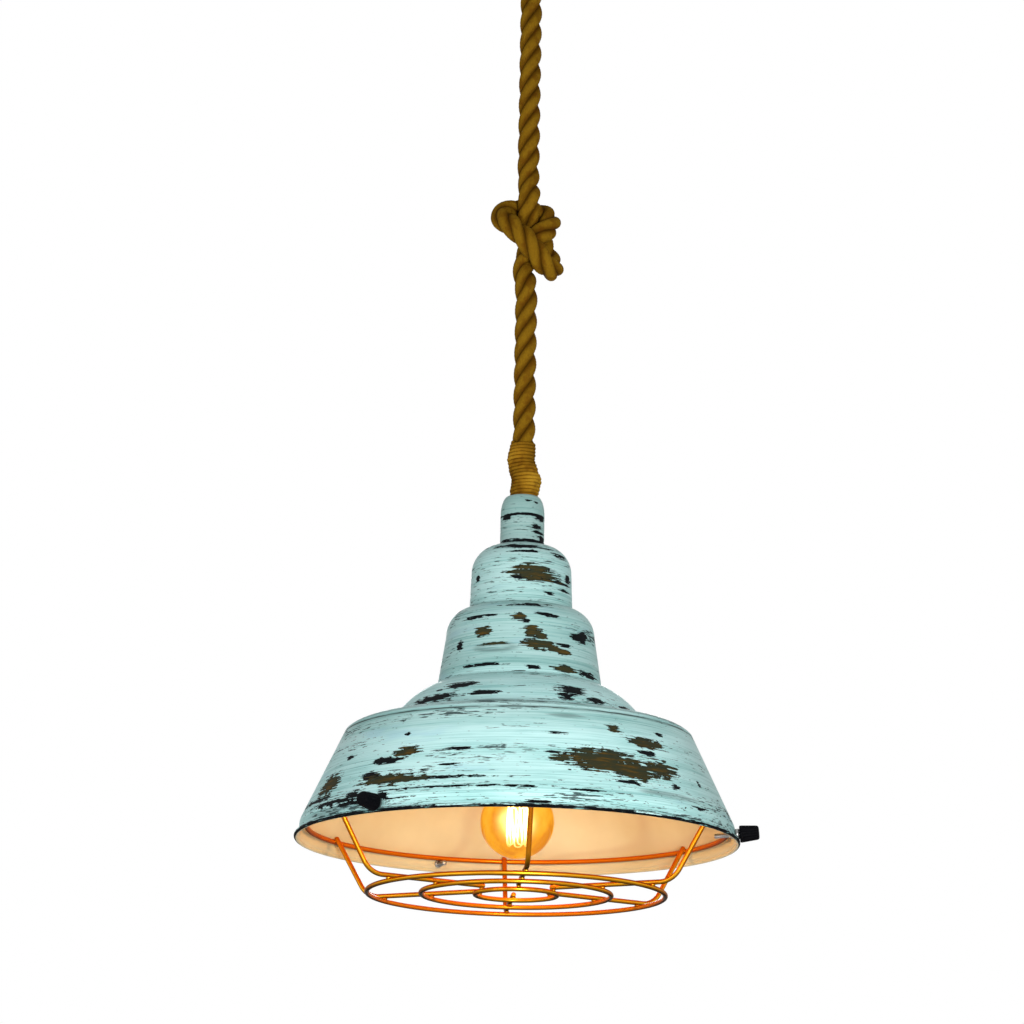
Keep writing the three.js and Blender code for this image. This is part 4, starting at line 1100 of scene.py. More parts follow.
# %% [markdown]
# ## The wire guard
#
# The guard is plain round wire, welded: four rings, and six bent wires that run down from the top
# ring and in under the others. The rings are read back from the frame, one number each. A bent
# wire is a straight leg, a round bend and a level run. Where two wires cross there is a small
# bead of weld, which also closes the hair's gap that the frame keeps between its parts.

# %% Bend the wires
WIRE_RADIUS = 2 * MM
WIRE_SIDES = 18
WIRE_GAP = 0.3 * MM                 # the frame's own gap between wires that cross
LEGS = 6
LEG_BEND = 20 * MM
LEG_SPREAD = 17 * MM                # from the outer ring to where slant and level run would meet
LEG_OVERRUN = 3.5 * MM              # a leg's end above the middle of the top ring


def ring_of(node):
    """Radius and height of the middle line of a ring in the frame."""
    first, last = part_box(node)
    return (last.y - first.y) / 2 - WIRE_RADIUS, (first.z + last.z) / 2


rings = {name: ring_of(f"guard_{name}_ring") for name in ("top", "outer", "middle", "inner")}


def guard_ring(name):
    radius, height = rings[name]
    angles = np.arange(240) * TAU / 240
    path = np.stack([radius * np.sin(angles), -radius * np.cos(angles), np.full(240, height)], 1)
    made = wire_object(f"ring_{name}", path, WIRE_RADIUS, WIRE_SIDES, closed=True)
    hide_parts(f"guard_{name}_ring")
    return made


def leg_line():
    """The bent wire's middle line as (distance from the axis, height)."""
    top_radius, top_height = rings["top"]
    run_height = rings["outer"][1] + 2 * WIRE_RADIUS + WIRE_GAP
    top = Vector((top_radius - 2 * WIRE_RADIUS - WIRE_GAP, top_height))
    foot = Vector((rings["outer"][0] + LEG_SPREAD, run_height))
    slant = (top - foot).normalized()
    turn = math.pi - slant.angle(Vector((-1, 0)))
    tangent = LEG_BEND * math.tan(turn / 2)
    centre = Vector((foot.x - tangent, run_height + LEG_BEND))
    bend_start = foot + slant * tangent
    first = math.degrees(math.atan2(bend_start.y - centre.y, bend_start.x - centre.x))
    return fill_in([tuple(top + slant * LEG_OVERRUN),
                    *arc(centre, (LEG_BEND, LEG_BEND), first, -90, 16),
                    (rings["inner"][0] - WIRE_RADIUS, run_height)], 6 * MM)


def bent_wire(number):
    angle = number * TAU / LEGS
    path = [(r * math.sin(angle), -r * math.cos(angle), z) for r, z in leg_line()]
    return wire_object(f"guard_leg_{number + 1}", path, WIRE_RADIUS, WIRE_SIDES)


guard = [guard_ring(name) for name in rings]
legs = [bent_wire(number) for number in range(LEGS)]
print("rings (radius, height):", {k: (round(r, 4), round(z, 4)) for k, (r, z) in rings.items()})

# %% [markdown]
# The frame turns its bent wires one way round, so each new leg has to stand in for the right one.
# The nearest frame wire is found by its place, instead of by counting.

# %% Match the legs to the frame and add the welds
def middle_of(box_pair):
    return (box_pair[0] + box_pair[1]) / 2


def nearest_wire(leg):
    points = [leg.matrix_world @ v.co for v in leg.data.vertices]
    middle = sum(points, Vector()) / len(points)
    names = [f"guard_wire_{k + 1}" for k in range(LEGS)]
    return min(names, key=lambda n: (middle_of(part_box(n)) - middle).length)


def weld_bead(name, centre, size):
    """A small uneven blob of weld metal."""
    shape = bmesh.new()
    bmesh.ops.create_icosphere(shape, subdivisions=2, radius=1)
    for v in shape.verts:
        lump = 1 + 0.16 * noise.noise(v.co * 2 + Vector(centre) * 300)
        v.co = Vector((v.co.x * size[0], v.co.y * size[1], v.co.z * size[2])) * lump + Vector(centre)
    mesh = bpy.data.meshes.new(name)
    shape.to_mesh(mesh)
    shape.free()
    mesh.shade_smooth()
    made = bpy.data.objects.new(name, mesh)
    bpy.context.scene.collection.objects.link(made)
    return made


def join_pieces(name, parts):
    """One object from several."""
    with bpy.context.temp_override(active_object=parts[0], selected_editable_objects=parts):
        bpy.ops.object.join()
    parts[0].name = name
    return parts[0]


BEAD = (2.1 * MM, 2.1 * MM, 1.5 * MM)
welds = []
for number, leg in enumerate(legs):
    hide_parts(nearest_wire(leg))
    angle = number * TAU / LEGS
    for name, (radius, height) in rings.items():
        # a leg runs inside the top ring, and over the other three
        reach = radius - (WIRE_RADIUS if name == "top" else 0)
        level = height + (0 if name == "top" else WIRE_RADIUS)
        middle = (reach * math.sin(angle), -reach * math.cos(angle), level)
        welds.append(weld_bead(f"bead_{number}_{name}", middle, BEAD))
guard_welds = join_pieces("guard_welds", welds)

# %% [markdown]
# ## Brass plate on wire
#
# The guard is brass plated and lacquered, and it hangs right under the bulb. Its colour is a deep
# orange gold. Metal has no colour of its own in the shade: it shows what it reflects, tinted. So
# the base colour is strong. Light is painted into it too: a painted gold highlight on the wires'
# sides, painted shade underneath, and painted orange light of the bulb on their tops, on the side
# that faces the bulb and all round up near it.

# %% Finish the guard
BULB_HEIGHT = low("bulb_glass", 2) + 30 * MM


def plated_brass():
    material, tree, shader = new_finish("plated_brass")
    slow = speckle(tree, place(tree), (45, 45, 45), 3)
    fine = speckle(tree, place(tree), (700, 700, 700), 2)
    normal = add(tree, "ShaderNodeTexCoord").outputs["Normal"]
    upward = add(tree, "ShaderNodeSeparateXYZ", {0: normal}).outputs["Z"]
    upward = maths(tree, "MULTIPLY", maths(tree, "ADD", upward, 1.0), 0.5)      # 0 is straight down
    # painted light by the way a wire faces: painted shade underneath, a painted gold highlight on the
    # sides, painted orange bulb light on top
    lit_and_shaded_plate = ramp(tree, upward, [(0.05, (0.09, 0.05, 0.002)), (0.275, (0.55, 0.22, 0.01)),
                                (0.475, (0.92, 0.46, 0.02)), (0.675, (0.72, 0.20, 0.005)),
                                (0.9, (0.50, 0.06, 0.002))])
    # painted light: the side that faces the bulb is tinted orange as if lit by it
    to_bulb = add(tree, "ShaderNodeVectorMath", {0: (0.0, 0.0, BULB_HEIGHT), 1: place(tree)},
                  operation="SUBTRACT").outputs[0]
    to_bulb = add(tree, "ShaderNodeVectorMath", {0: to_bulb}, operation="NORMALIZE").outputs[0]
    lit = add(tree, "ShaderNodeVectorMath", {0: normal, 1: to_bulb}, operation="DOT_PRODUCT")
    lit = step_up(tree, lit.outputs["Value"], -0.15, 0.65)
    colour = blend_colours(tree, maths(tree, "MULTIPLY", lit, 0.7), lit_and_shaded_plate, (0.46, 0.075, 0.002))
    # painted glow: the wires up near the bulb are tinted orange all round
    level = add(tree, "ShaderNodeSeparateXYZ", {0: place(tree)}).outputs["Z"]
    bulb_glow_share = step_up(tree, level, MOUTH - 34 * MM, MOUTH - 20 * MM)
    colour = blend_colours(tree, maths(tree, "MULTIPLY", bulb_glow_share, 0.45), colour, (0.62, 0.115, 0.003))
    tree.links.new(colour, shader.inputs["Base Color"])
    metallic = add(tree, "ShaderNodeMapRange", {"Value": lit, "To Min": 0.8, "To Max": 0.5})
    tree.links.new(metallic.outputs["Result"], shader.inputs["Metallic"])
    rough = add(tree, "ShaderNodeMapRange", {"Value": slow, "To Min": 0.26, "To Max": 0.34})
    tree.links.new(rough.outputs["Result"], shader.inputs["Roughness"])
    shader.inputs["Specular IOR Level"].default_value = 0.1
    shader.inputs["Specular Tint"].default_value = (0.10, 0.04, 0.002, 1)
    raise_surface(tree, shader, fine, 0.02 * MM, 0.3)
    return material


brass_plate = plated_brass()
for piece in (*guard, *legs, guard_welds):
    wear(piece, brass_plate)
    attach(piece, "lamp")
print("guard pieces:", len(guard) + len(legs) + 1)

# %% [markdown]
# ## Thumb screws
#
# Each screw is three things: a threaded bush through the cone with a collar outside, a steel shank
# with a real spiral thread, and a ribbed black knob pressed on its end. All three are modelled
# along +Z and then turned onto the axis of their own joint.

# %% Measure the screws
JOINT_REACH = 187 * MM              # where along its screw each joint's point lies
BUSH_IN, BUSH_OUT = WALL_RADIUS - 2.4 * MM, RIM_RADIUS + .2 * MM
KNOB_START = BUSH_OUT + .3 * MM
KNOB_LENGTH = 15.5 * MM
KNOB_INNER, KNOB_OUTER = 7 * MM, 5.6 * MM
KNOB_RIBS = 14
KNOB_BORE = 9 * MM
SHANK_RADIUS = 2 * MM
THREAD_PITCH = 0.7 * MM
SCREW_TIP = rings["top"][0] - 10.2 * MM
SCREW_END = KNOB_START + 8.7 * MM
print(f"a shank is {(SCREW_END - SCREW_TIP) / MM:.1f} mm long, a knob {KNOB_LENGTH / MM:.1f} mm")

# %% Cut a thread
def thread(name, radius, depth, pitch, start, end):
    """A rod with a spiral thread cut into it and a chamfered tip."""
    steps = 24
    profile = [(0.0, -depth), (0.18, -depth), (0.5, 0.0), (0.68, 0.0)]
    points = []
    rows = round((end - start) / pitch * len(profile)) + 1
    for i in range(rows):
        share, drop = profile[i % len(profile)]
        base = start + pitch * (i // len(profile) + share)
        for j in range(steps):
            height = min(base + pitch * j / steps, end)
            angle = TAU * j / steps
            chamfer = max(0.0, depth * 1.6 - (height - start))
            reach = max(radius + drop - chamfer, radius * 0.5)
            points.append((reach * math.cos(angle), reach * math.sin(angle), height))
    faces = []
    for i in range(rows - 1):
        for j in range(steps):
            near, far = i * steps + j, (i + 1) * steps + j
            next_near = i * steps + j + 1 if j < steps - 1 else (i + len(profile)) * steps
            next_far = (i + 1) * steps + j + 1 if j < steps - 1 else (i + 1 + len(profile)) * steps
            if max(next_near, next_far) < rows * steps:
                faces.append((near, next_near, next_far, far))
    made = mesh_object(name, points, faces)
    core_radius = radius - depth * 1.05
    core = spin(name + "_core", [(0, start), (radius * .55, start), (core_radius, start + depth),
                                 (core_radius, end), (0, end)], steps, closed=False)
    return join_pieces(name, [made, core])


print("thread cutter ready")

# %% Rib a knob
def ribbed_knob(name):
    """A tapered grip with rounded ribs, a plain collar and a softened end."""
    # (share of the length, share of the tapered radius, depth of the grooves)
    stations = [(0.0, 0.90, 0), (0.02, 0.97, 0), (0.09, 1.0, 0), (0.13, 1.0, 0), (0.16, 1.0, 1),
                (0.5, 1.0, 1), (0.86, 1.0, 1), (0.90, 0.99, 0.6), (0.95, 0.95, 0.2), (0.985, 0.86, 0),
                (1.0, 0.70, 0)]
    sides = KNOB_RIBS * 10
    points = []
    for share, swell, ribbed in stations:
        taper = KNOB_INNER + (KNOB_OUTER - KNOB_INNER) * share
        for j in range(sides):
            angle = TAU * j / sides
            groove = 0.5 * MM * ribbed * (0.5 - 0.5 * math.cos(angle * KNOB_RIBS)) ** 2
            reach = taper * swell - groove
            height = KNOB_START + KNOB_LENGTH * share
            points.append((reach * math.cos(angle), reach * math.sin(angle), height))
    faces = grid_faces(len(stations), sides)
    bore_radius = SHANK_RADIUS + .3 * MM
    bore_points = [(bore_radius, 0), (bore_radius, KNOB_BORE), (0.02 * MM, KNOB_BORE)]
    for radius, depth in bore_points:
        for j in range(sides):
            angle = TAU * j / sides
            points.append((radius * math.cos(angle), radius * math.sin(angle), KNOB_START + depth))
    rim = len(stations) * sides
    for i in range(sides):
        j = (i + 1) % sides
        faces.append((j, i, rim + i, rim + j))
    for row in range(2):
        for i in range(sides):
            j = (i + 1) % sides
            a = rim + row * sides
            faces.append((a + j, a + i, a + sides + i, a + sides + j))
    bore_end, outer_end = rim + 2 * sides, rim - sides
    faces.append(tuple(range(bore_end, bore_end + sides)))
    faces.append(tuple(range(outer_end, outer_end + sides)))
    return mesh_object(name, points, faces)


print("a knob has", KNOB_RIBS, "ribs")

# %% Turn the bushes and set each screw on its joint
def bush(name):
    """Threaded barrel with a rounded collar outside the wall."""
    bore_radius = SHANK_RADIUS + .3 * MM
    barrel, collar, seat = BUSH_RADIUS - .1 * MM, 4.6 * MM, WALL_RADIUS + .8 * MM
    return spin(name, [
        (bore_radius, BUSH_IN), (barrel - .4 * MM, BUSH_IN), (barrel, BUSH_IN + .4 * MM),
        (barrel, seat), (collar - .3 * MM, seat), (collar, seat + .3 * MM),
        (collar, BUSH_OUT - .6 * MM), (collar - .6 * MM, BUSH_OUT), (bore_radius, BUSH_OUT)], 48)


def set_along(piece, joint):
    """Moves a piece that was modelled along +Z, from the lamp's axis, onto its joint."""
    piece.data.transform(along_axis(joint) @ Matrix.Translation((0, 0, -JOINT_REACH)))
    piece.data.update()


screws = []
for number, joint in enumerate(SCREW_JOINTS, 1):
    shank = thread(f"screw_shank_{number}", SHANK_RADIUS, .22 * MM, THREAD_PITCH, SCREW_TIP, SCREW_END)
    knob = ribbed_knob(f"screw_knob_{number}")
    sleeve = bush(f"bush_{number}")
    for piece, node, body in ((shank, "thumb_screw_shank", joint["parent"]),
                              (knob, "thumb_screw_knob", joint["child"]),
                              (sleeve, "screw_bush", "lamp")):
        set_along(piece, joint)
        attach(piece, body)
        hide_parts(f"{node}_{number}")
    screws.append((shank, knob, sleeve))
print("screw joints:", [j["name"] for j in SCREW_JOINTS])

# %% Finish the screws
def plain_steel():
    material, tree, shader = new_finish("zinc_steel")
    mottle = speckle(tree, place(tree), (160, 160, 160), 4)
    tree.links.new(ramp(tree, mottle, [(0.3, (0.24, 0.24, 0.235)), (0.7, (0.46, 0.455, 0.44))]),
                   shader.inputs["Base Color"])
    shader.inputs["Metallic"].default_value = 1.0
    rough = add(tree, "ShaderNodeMapRange", {"Value": mottle, "To Min": 0.28, "To Max": 0.5})
    tree.links.new(rough.outputs["Result"], shader.inputs["Roughness"])
    raise_surface(tree, shader, mottle, 0.03 * MM, 0.4)
    return material


def black_moulding(name, roughness, grain):
    material, tree, shader = new_finish(name)
    fine = speckle(tree, place(tree), (grain, grain, grain), 3)
    tree.links.new(ramp(tree, fine, [(0.3, (0.001, 0.001, 0.002)), (0.7, (0.004, 0.004, 0.005))]),
                   shader.inputs["Base Color"])
    shader.inputs["Roughness"].default_value = roughness
    shader.inputs["Specular IOR Level"].default_value = 0.03
    raise_surface(tree, shader, fine, 0.03 * MM, 0.5)
    return material


steel = plain_steel()
knob_black = black_moulding("knob_black", 0.55, 900)
phenolic = black_moulding("phenolic_black", 0.28, 260)
for shank, knob, sleeve in screws:
    for piece, material, slot in ((shank, steel, "steel"), (knob, knob_black, "knob"),
                                  (sleeve, steel, "steel")):
        wear(piece, material)
print("screws finished")

# %% [markdown]
# ## The bulb
#
# An old-style globe lamp: a thin amber glass, a glass stem, and a long carbon filament hung from
# wires in a cage. The glass is a real shell with two surfaces. Its far wall, lit by the filament,
# glows a yellow white. The near wall is a clear amber that lets more of that through where it is
# looked at squarely than where it is looked at along its skin, as every thin tinted glass does.

# %% Blow the glass
BULB_RADIUS = 30 * MM
BULB_CENTRE = low("bulb_glass", 2) + BULB_RADIUS
NECK_OF_BULB = 12.6 * MM
NECK_ANGLE = 62                     # where the globe turns into its neck, in degrees
GLASS_WALL = 0.8 * MM
glass_top = high("bulb_glass", 2) - BULB_CENTRE


def globe_outline(radius, neck, top):
    """From the bottom of the globe up into its neck."""
    start = arc((0, 0), (radius, radius), -90, NECK_ANGLE, 40)
    corner = np.array(start[-1])
    lean = np.array((-math.sin(math.radians(NECK_ANGLE)), math.cos(math.radians(NECK_ANGLE))))
    curve = []
    end = np.array((neck, radius + 9 * MM))
    for i in range(1, 13):
        t = i / 12
        handle_a = corner + lean * 6 * MM
        handle_b = end - np.array((0, 6 * MM))
        point = ((1 - t) ** 3 * corner + 3 * (1 - t) ** 2 * t * handle_a
                 + 3 * (1 - t) * t ** 2 * handle_b + t ** 3 * end)
        curve.append(tuple(point))
    return [*start, *curve, (neck, top)]


outer_line = globe_outline(BULB_RADIUS, NECK_OF_BULB, glass_top)
outer_line[0] = (0.0, -BULB_RADIUS)
inner_line = globe_outline(BULB_RADIUS - GLASS_WALL, NECK_OF_BULB - GLASS_WALL, glass_top)
inner_line[0] = (0.0, -BULB_RADIUS + GLASS_WALL)
bulb_glass = spin("globe_glass", [*outer_line, *inner_line[::-1]], 96, closed=False, base=BULB_CENTRE)
print(f"bulb centre {BULB_CENTRE:.4f} m")

# %% Turn the bulb's cap
cap_low, cap_high = low("bulb_cap", 2), high("bulb_cap", 2)
CAP_RADIUS = 13.2 * MM
cap_outline = [(NECK_OF_BULB + .3 * MM, cap_low), (CAP_RADIUS - .2 * MM, cap_low),
               (CAP_RADIUS - .1 * MM, cap_low + 2 * MM)]
for i in range(25):
    height = cap_low + 2 * MM + i * 0.6 * MM
    cap_outline.append((CAP_RADIUS - .55 * MM * (0.5 - 0.5 * math.cos(TAU * i / 6)), height))
cap_outline += [(CAP_RADIUS - .6 * MM, cap_high - 6 * MM), (11 * MM, cap_high - 4 * MM),
                (8 * MM, cap_high - 2 * MM), (5 * MM, cap_high - .8 * MM), (4 * MM, cap_high),
                (0, cap_high), (0, cap_high - 5 * MM), (NECK_OF_BULB + .3 * MM, cap_high - 5 * MM)]
bulb_cap = spin("screw_cap", cap_outline, 72)
print("cap points:", len(bulb_cap.data.vertices))

# %% Make the stem and the filament
FILAMENT_RING = 7.6 * MM
FILAMENT_RUNS = 10
FILAMENT_RADIUS = 0.6 * MM
stem_low = low("bulb_stem", 2)
stem_high = high("bulb_stem", 2)
bulb_stem = spin("glass_stem", [
    (0, stem_low), (1.6 * MM, stem_low + .2 * MM), (2.4 * MM, stem_low + 1.2 * MM),
    (2.0 * MM, stem_low + 4 * MM), (2.2 * MM, stem_low + 9 * MM), (3.2 * MM, stem_low + 13 * MM),
    (5.5 * MM, stem_low + 19 * MM), (9 * MM, stem_high - 3 * MM), (11 * MM, stem_high), (0, stem_high)],
    48, closed=False)


def filament_path():
    """Long hairpins hung between an upper and a lower ring of hooks."""
    foot = BULB_CENTRE - 18.5 * MM
    head = stem_low - 4 * MM
    path = [(0, 0, stem_low - .3 * MM)]
    for run in range(FILAMENT_RUNS):
        angle = math.radians(-10 + run * 320 / (FILAMENT_RUNS - 1))
        x, y = FILAMENT_RING * math.cos(angle), FILAMENT_RING * math.sin(angle)
        levels = (head, foot) if run % 2 == 0 else (foot, head)
        for level in levels:
            path.append((x, y, level))
    return smooth_route(path, .6 * MM)[0]


filament = wire_object("filament_wire", filament_path(), FILAMENT_RADIUS, sides=8)
print("filament points:", len(filament.data.vertices))

# %% Finish the bulb's glass
def outer_face(tree):
    """1 where a face is seen from the side that its normal points to, and 0 from its back."""
    return maths(tree, "SUBTRACT", 1.0, add(tree, "ShaderNodeNewGeometry").outputs["Backfacing"])


def amber_glass():
    material, tree, shader = new_finish("amber_glass")
    facing = add(tree, "ShaderNodeLayerWeight", {"Blend": 0.5}).outputs["Facing"]
    ripple = speckle(tree, place(tree), (60, 60, 40), 3)
    depth = maths(tree, "ADD", facing, centred(tree, ripple, 0.16))
    opening = add(tree, "ShaderNodeFloatCurve", {"Value": maths(tree, "MAXIMUM", depth, 0.0)})
    line = opening.mapping.curves[0].points
    line[0].location, line[1].location = (0.0, 0.20), (1.0, 1.0)
    for seen_at, share in ((0.06, 0.46), (0.11, 0.80), (0.20, 0.95), (0.45, 0.985)):
        line.new(seen_at, share)
    opening.mapping.update()
    glow = add(tree, "ShaderNodeEmission", {"Strength": 1.0})
    tree.links.new(ramp(tree, ripple, [(0.36, (0.80, 0.25, 0.006)), (0.50, (0.98, 0.38, 0.012)),
                                       (0.66, (1.10, 0.50, 0.030))]), glow.inputs["Color"])
    clear = add(tree, "ShaderNodeBsdfTransparent", {"Color": (1.0, 0.84, 0.55, 1)})
    gloss = add(tree, "ShaderNodeBsdfGlossy", {"Color": (1, 1, 1, 1), "Roughness": 0.05})
    front = outer_face(tree)
    haze = maths(tree, "MULTIPLY", front, opening.outputs[0])
    body = add(tree, "ShaderNodeMixShader", {0: haze, 1: clear.outputs[0], 2: glow.outputs[0]})
    fresnel = maths(tree, "MULTIPLY", add(tree, "ShaderNodeFresnel", {"IOR": 1.12}).outputs[0], front)
    surface = add(tree, "ShaderNodeMixShader", {0: fresnel, 1: body.outputs[0], 2: gloss.outputs[0]})
    tree.links.new(surface.outputs[0], tree.nodes["Material Output"].inputs["Surface"])
    return material


def inner_glass():
    """The inner surface takes the filament's light and gives it back, a warm white."""
    material, tree, shader = new_finish("inner_glass")
    ripple = speckle(tree, place(tree), (40, 40, 30), 2)
    glow = add(tree, "ShaderNodeEmission", {"Strength": 1.0})
    tree.links.new(ramp(tree, ripple, [(0.3, (4.2, 3.0, 1.3)), (0.7, (5.4, 4.0, 1.9))]),
                   glow.inputs["Color"])
    clear = add(tree, "ShaderNodeBsdfTransparent", {"Color": (1.0, 0.96, 0.88, 1)})
    front = outer_face(tree)
    surface = add(tree, "ShaderNodeMixShader", {0: front, 1: clear.outputs[0], 2: glow.outputs[0]})
    tree.links.new(surface.outputs[0], tree.nodes["Material Output"].inputs["Surface"])
    return material


print("two kinds of glass ready")


# %% Finish the filament, the cap and the stem
def hot_filament():
    material, tree, shader = new_finish("hot_filament")
    along = speckle(tree, place(tree), (200, 200, 90), 2)
    tree.links.new(ramp(tree, along, [(0.3, (1.0, 0.62, 0.20)), (0.7, (1.0, 0.86, 0.52))]),
                   shader.inputs["Emission Color"])
    shader.inputs["Emission Strength"].default_value = 30.0
    shader.inputs["Base Color"].default_value = (0.2, 0.1, 0.05, 1)
    shader.inputs["Roughness"].default_value = 0.7
    return material


def cap_metal():
    material, tree, shader = new_finish("cap_metal")
    mottle = speckle(tree, place(tree), (220, 220, 220), 3)
    tree.links.new(ramp(tree, mottle, [(0.3, (0.55, 0.55, 0.53)), (0.7, (0.74, 0.73, 0.70))]),
                   shader.inputs["Base Color"])
    shader.inputs["Metallic"].default_value = 1.0
    shader.inputs["Roughness"].default_value = 0.3
    return material


def clear_glass():
    material, tree, shader = new_finish("stem_glass")
    ripple = speckle(tree, place(tree), (180, 180, 60), 3)
    tree.links.new(ramp(tree, ripple, [(0.3, (0.92, 0.86, 0.76)), (0.7, (1.0, 0.97, 0.92))]),
                   shader.inputs["Base Color"])
    shader.inputs["Transmission Weight"].default_value = 0.85
    shader.inputs["Roughness"].default_value = 0.08
    raise_surface(tree, shader, ripple, 0.1 * MM, 0.5)
    return material


for piece, material, body, node, slot in (
        (bulb_glass, amber_glass(), "bulb", "bulb_glass", "amber_glass"),
        (filament, hot_filament(), "bulb", "filament", "filament"),
        (bulb_stem, clear_glass(), "bulb", "bulb_stem", "stem_glass"),
        (bulb_cap, cap_metal(), "bulb_cap", "bulb_cap", "bulb_cap")):
    wear(piece, material)
    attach(piece, body)
    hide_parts(node)
bulb_glass.data.materials.append(inner_glass())
for face in bulb_glass.data.polygons:
    outward = face.normal.dot(face.center - Vector((0, 0, min(face.center.z, BULB_CENTRE))))
    face.material_index = 0 if outward > 0 else 1
bulb_glass.visible_shadow = False
print("bulb finished")

# %% [markdown]
# ## The lampholder and the fittings
#
# Above the bulb sits a black lampholder on a threaded tube, and at the ceiling a steel bracket and
# a socket for the rope. Their frame parts already have the right shape for plain turned and
# pressed metal, so those only get their finish. The holder's two shells show from below, so they
# are spun again with softer edges.

# %% Spin the holder
HOLDER_RADIUS = 20 * MM
holder_low, holder_high = low("holder_shell", 2), high("holder_shell", 2)
holder_shell = spin("holder_skirt", [
    (17 * MM, holder_low), (18.6 * MM, holder_low), (19.5 * MM, holder_low + .6 * MM),
    (HOLDER_RADIUS, holder_low + 2 * MM), (HOLDER_RADIUS, holder_low + 24 * MM),
    (19.4 * MM, holder_low + 24.6 * MM), (19.4 * MM, holder_low + 26 * MM),
    (HOLDER_RADIUS, holder_low + 26.6 * MM), (HOLDER_RADIUS, holder_high), (18 * MM, holder_high),
    (18 * MM, holder_low + 4 * MM)], 96)
cap_foot, holder_top = low("holder_cap", 2), high("holder_cap", 2)
holder_cap = spin("holder_dome", [
    (5.3 * MM, holder_top), (5.3 * MM, holder_top - 4 * MM), (8 * MM, holder_top - 9 * MM),
    (18 * MM, cap_foot + 2 * MM), (18 * MM, cap_foot), (HOLDER_RADIUS, cap_foot),
    (HOLDER_RADIUS, cap_foot + 3 * MM), (19 * MM, cap_foot + 4 * MM), (10 * MM, holder_top - 7 * MM),
    (8.6 * MM, holder_top - 6 * MM), (8 * MM, holder_top - 5 * MM), (8 * MM, holder_top)], 96)
for piece, node in ((holder_shell, "holder_shell"), (holder_cap, "holder_cap")):
    wear(piece, phenolic)
    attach(piece, "lamp")
    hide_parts(node)
print("holder spans", round(holder_top - holder_low, 4), "m")

# %% Finish the frame's own parts
def turned_brass():
    material, tree, shader = new_finish("turned_brass")
    mottle = speckle(tree, place(tree), (240, 240, 700), 4)
    tree.links.new(ramp(tree, mottle, [(0.3, (0.56, 0.36, 0.10)), (0.7, (0.78, 0.56, 0.22))]),
                   shader.inputs["Base Color"])
    shader.inputs["Metallic"].default_value = 1.0
    shader.inputs["Roughness"].default_value = 0.32
    raise_surface(tree, shader, mottle, 0.03 * MM, 0.3)
    return material


def glazed_ceramic():
    material, tree, shader = new_finish("glazed_ceramic")
    cloud = speckle(tree, place(tree), (90, 90, 90), 4)
    tree.links.new(ramp(tree, cloud, [(0.3, (0.74, 0.71, 0.63)), (0.7, (0.86, 0.84, 0.78))]),
                   shader.inputs["Base Color"])
    shader.inputs["Roughness"].default_value = 0.22
    raise_surface(tree, shader, cloud, 0.05 * MM, 0.3)
    return material


brass = turned_brass()
ceramic = glazed_ceramic()
KEPT = {
    steel: ("ceiling_bracket", "hanger_stud", "stud_locknut", "rope_socket", "cup_nut", "rope_cup",
            "drop_tube", "inner_washer", "inner_nut"),
    brass: ("canopy_screw_1", "canopy_screw_2", "thread_shell", "centre_contact", "side_contact"),
    ceramic: ("terminal_block", "contact_block"),
}
for material, nodes in KEPT.items():
    for node in nodes:
        wear(frame["nodes"][node], material)
print("kept frame parts:", sum(len(nodes) for nodes in KEPT.values()))

# %% [markdown]
# ## Light
#
# Soft light comes from the front, near the eye, with a wider and weaker lamp to the left. The bulb
# adds its own warm light inside the shade. The room is white: the world is white wherever the eye
# or a reflection sees it, and dimmer where it only lights the lamp. A soft lamp straight behind
# lights the back and leaves the front alone. The floor is white to the eye too. Only its upper
# side can be seen, so that it doesn't hide the lamp from an eye below it.

# %% Lay the floor
FLOOR = -1.6
FLOOR_WHITENESS = 0.62              # added to what the lamps give it, so that shadows still show
bpy.ops.mesh.primitive_plane_add(size=14, location=(0, 0, FLOOR))
floor = bpy.context.object
floor.name = "floor"
floor_white, floor_tree, floor_shader = new_finish("floor_white")
floor_shader.inputs["Base Color"].default_value = (0.82, 0.82, 0.81, 1)
floor_shader.inputs["Roughness"].default_value = 0.9
looked_at = add(floor_tree, "ShaderNodeLightPath").outputs["Is Camera Ray"]
floor_shader.inputs["Emission Color"].default_value = (1, 1, 1, 1)
own_light = maths(floor_tree, "MULTIPLY", looked_at, FLOOR_WHITENESS)
floor_tree.links.new(own_light, floor_shader.inputs["Emission Strength"])
underside = add(floor_tree, "ShaderNodeNewGeometry").outputs["Backfacing"]
unseen = add(floor_tree, "ShaderNodeBsdfTransparent")
one_sided = add(floor_tree, "ShaderNodeMixShader",
                {0: underside, 1: floor_shader.outputs[0], 2: unseen.outputs[0]})
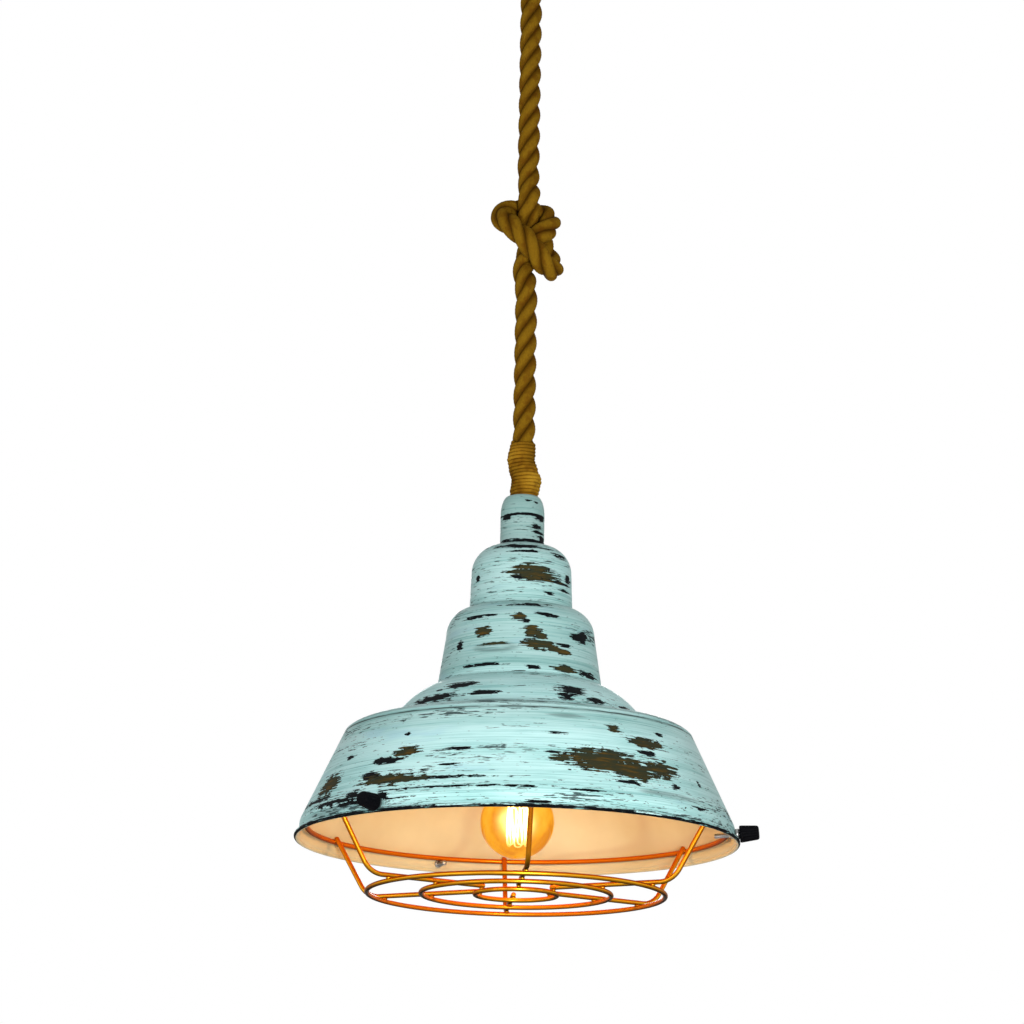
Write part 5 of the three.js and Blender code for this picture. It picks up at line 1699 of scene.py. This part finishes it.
floor_tree.links.new(one_sided.outputs[0], floor_tree.nodes["Material Output"].inputs["Surface"])
wear(floor, floor_white)
print("floor at", FLOOR, "m")

# %% Whiten the room
WORLD_LIGHT = 0.34                  # the world's strength where it only lights the lamp
world = bpy.data.worlds.new("room")
bpy.context.scene.world = world
world.use_nodes = True
sky = world.node_tree
background = sky.nodes["Background"]
path_kind = add(sky, "ShaderNodeLightPath")
seen = maths(sky, "MAXIMUM", path_kind.outputs["Is Camera Ray"],
             maths(sky, "MAXIMUM", path_kind.outputs["Is Glossy Ray"],
                   path_kind.outputs["Is Transmission Ray"]))
strength = add(sky, "ShaderNodeMapRange", {"Value": seen, "To Min": WORLD_LIGHT, "To Max": 1.0})
sky.links.new(strength.outputs["Result"], background.inputs["Strength"])
background.inputs["Color"].default_value = (1, 1, 1, 1)
print("the world lights the lamp at", WORLD_LIGHT)

# %% Hang the lamps
def soft_lamp(name, place_at, aim, size, power):
    """A round white lamp of a size in metres, pointed at its aim."""
    data = bpy.data.lights.new(name, "AREA")
    data.shape = "DISK"
    data.size = size
    data.energy = power
    made = bpy.data.objects.new(name, data)
    made.location = place_at
    made.rotation_euler = (Vector(aim) - Vector(place_at)).to_track_quat("-Z", "Y").to_euler()
    bpy.context.scene.collection.objects.link(made)


soft_lamp("key", (0.2, -1.75, -1.1), aim=(0, 0, -0.7), size=0.3, power=21.5)
soft_lamp("fill", (-1.5, -1.3, -0.9), aim=(0, 0, -0.7), size=1.2, power=5)
soft_lamp("back", (0.1, 2.0, -0.1), aim=(0, 0, -0.6), size=0.7, power=16)

glow_data = bpy.data.lights.new("bulb_light", "POINT")
glow_data.energy = 0.74
glow_data.color = (1.0, 0.47, 0.16)
glow_data.shadow_soft_size = 0.012
bulb_light = bpy.data.objects.new("bulb_light", glow_data)
bulb_light.location = (0, 0, BULB_CENTRE)
bpy.context.scene.collection.objects.link(bulb_light)
bulb_light.parent = frame["bodies"]["bulb"]
bpy.context.scene.view_settings.view_transform = "Standard"
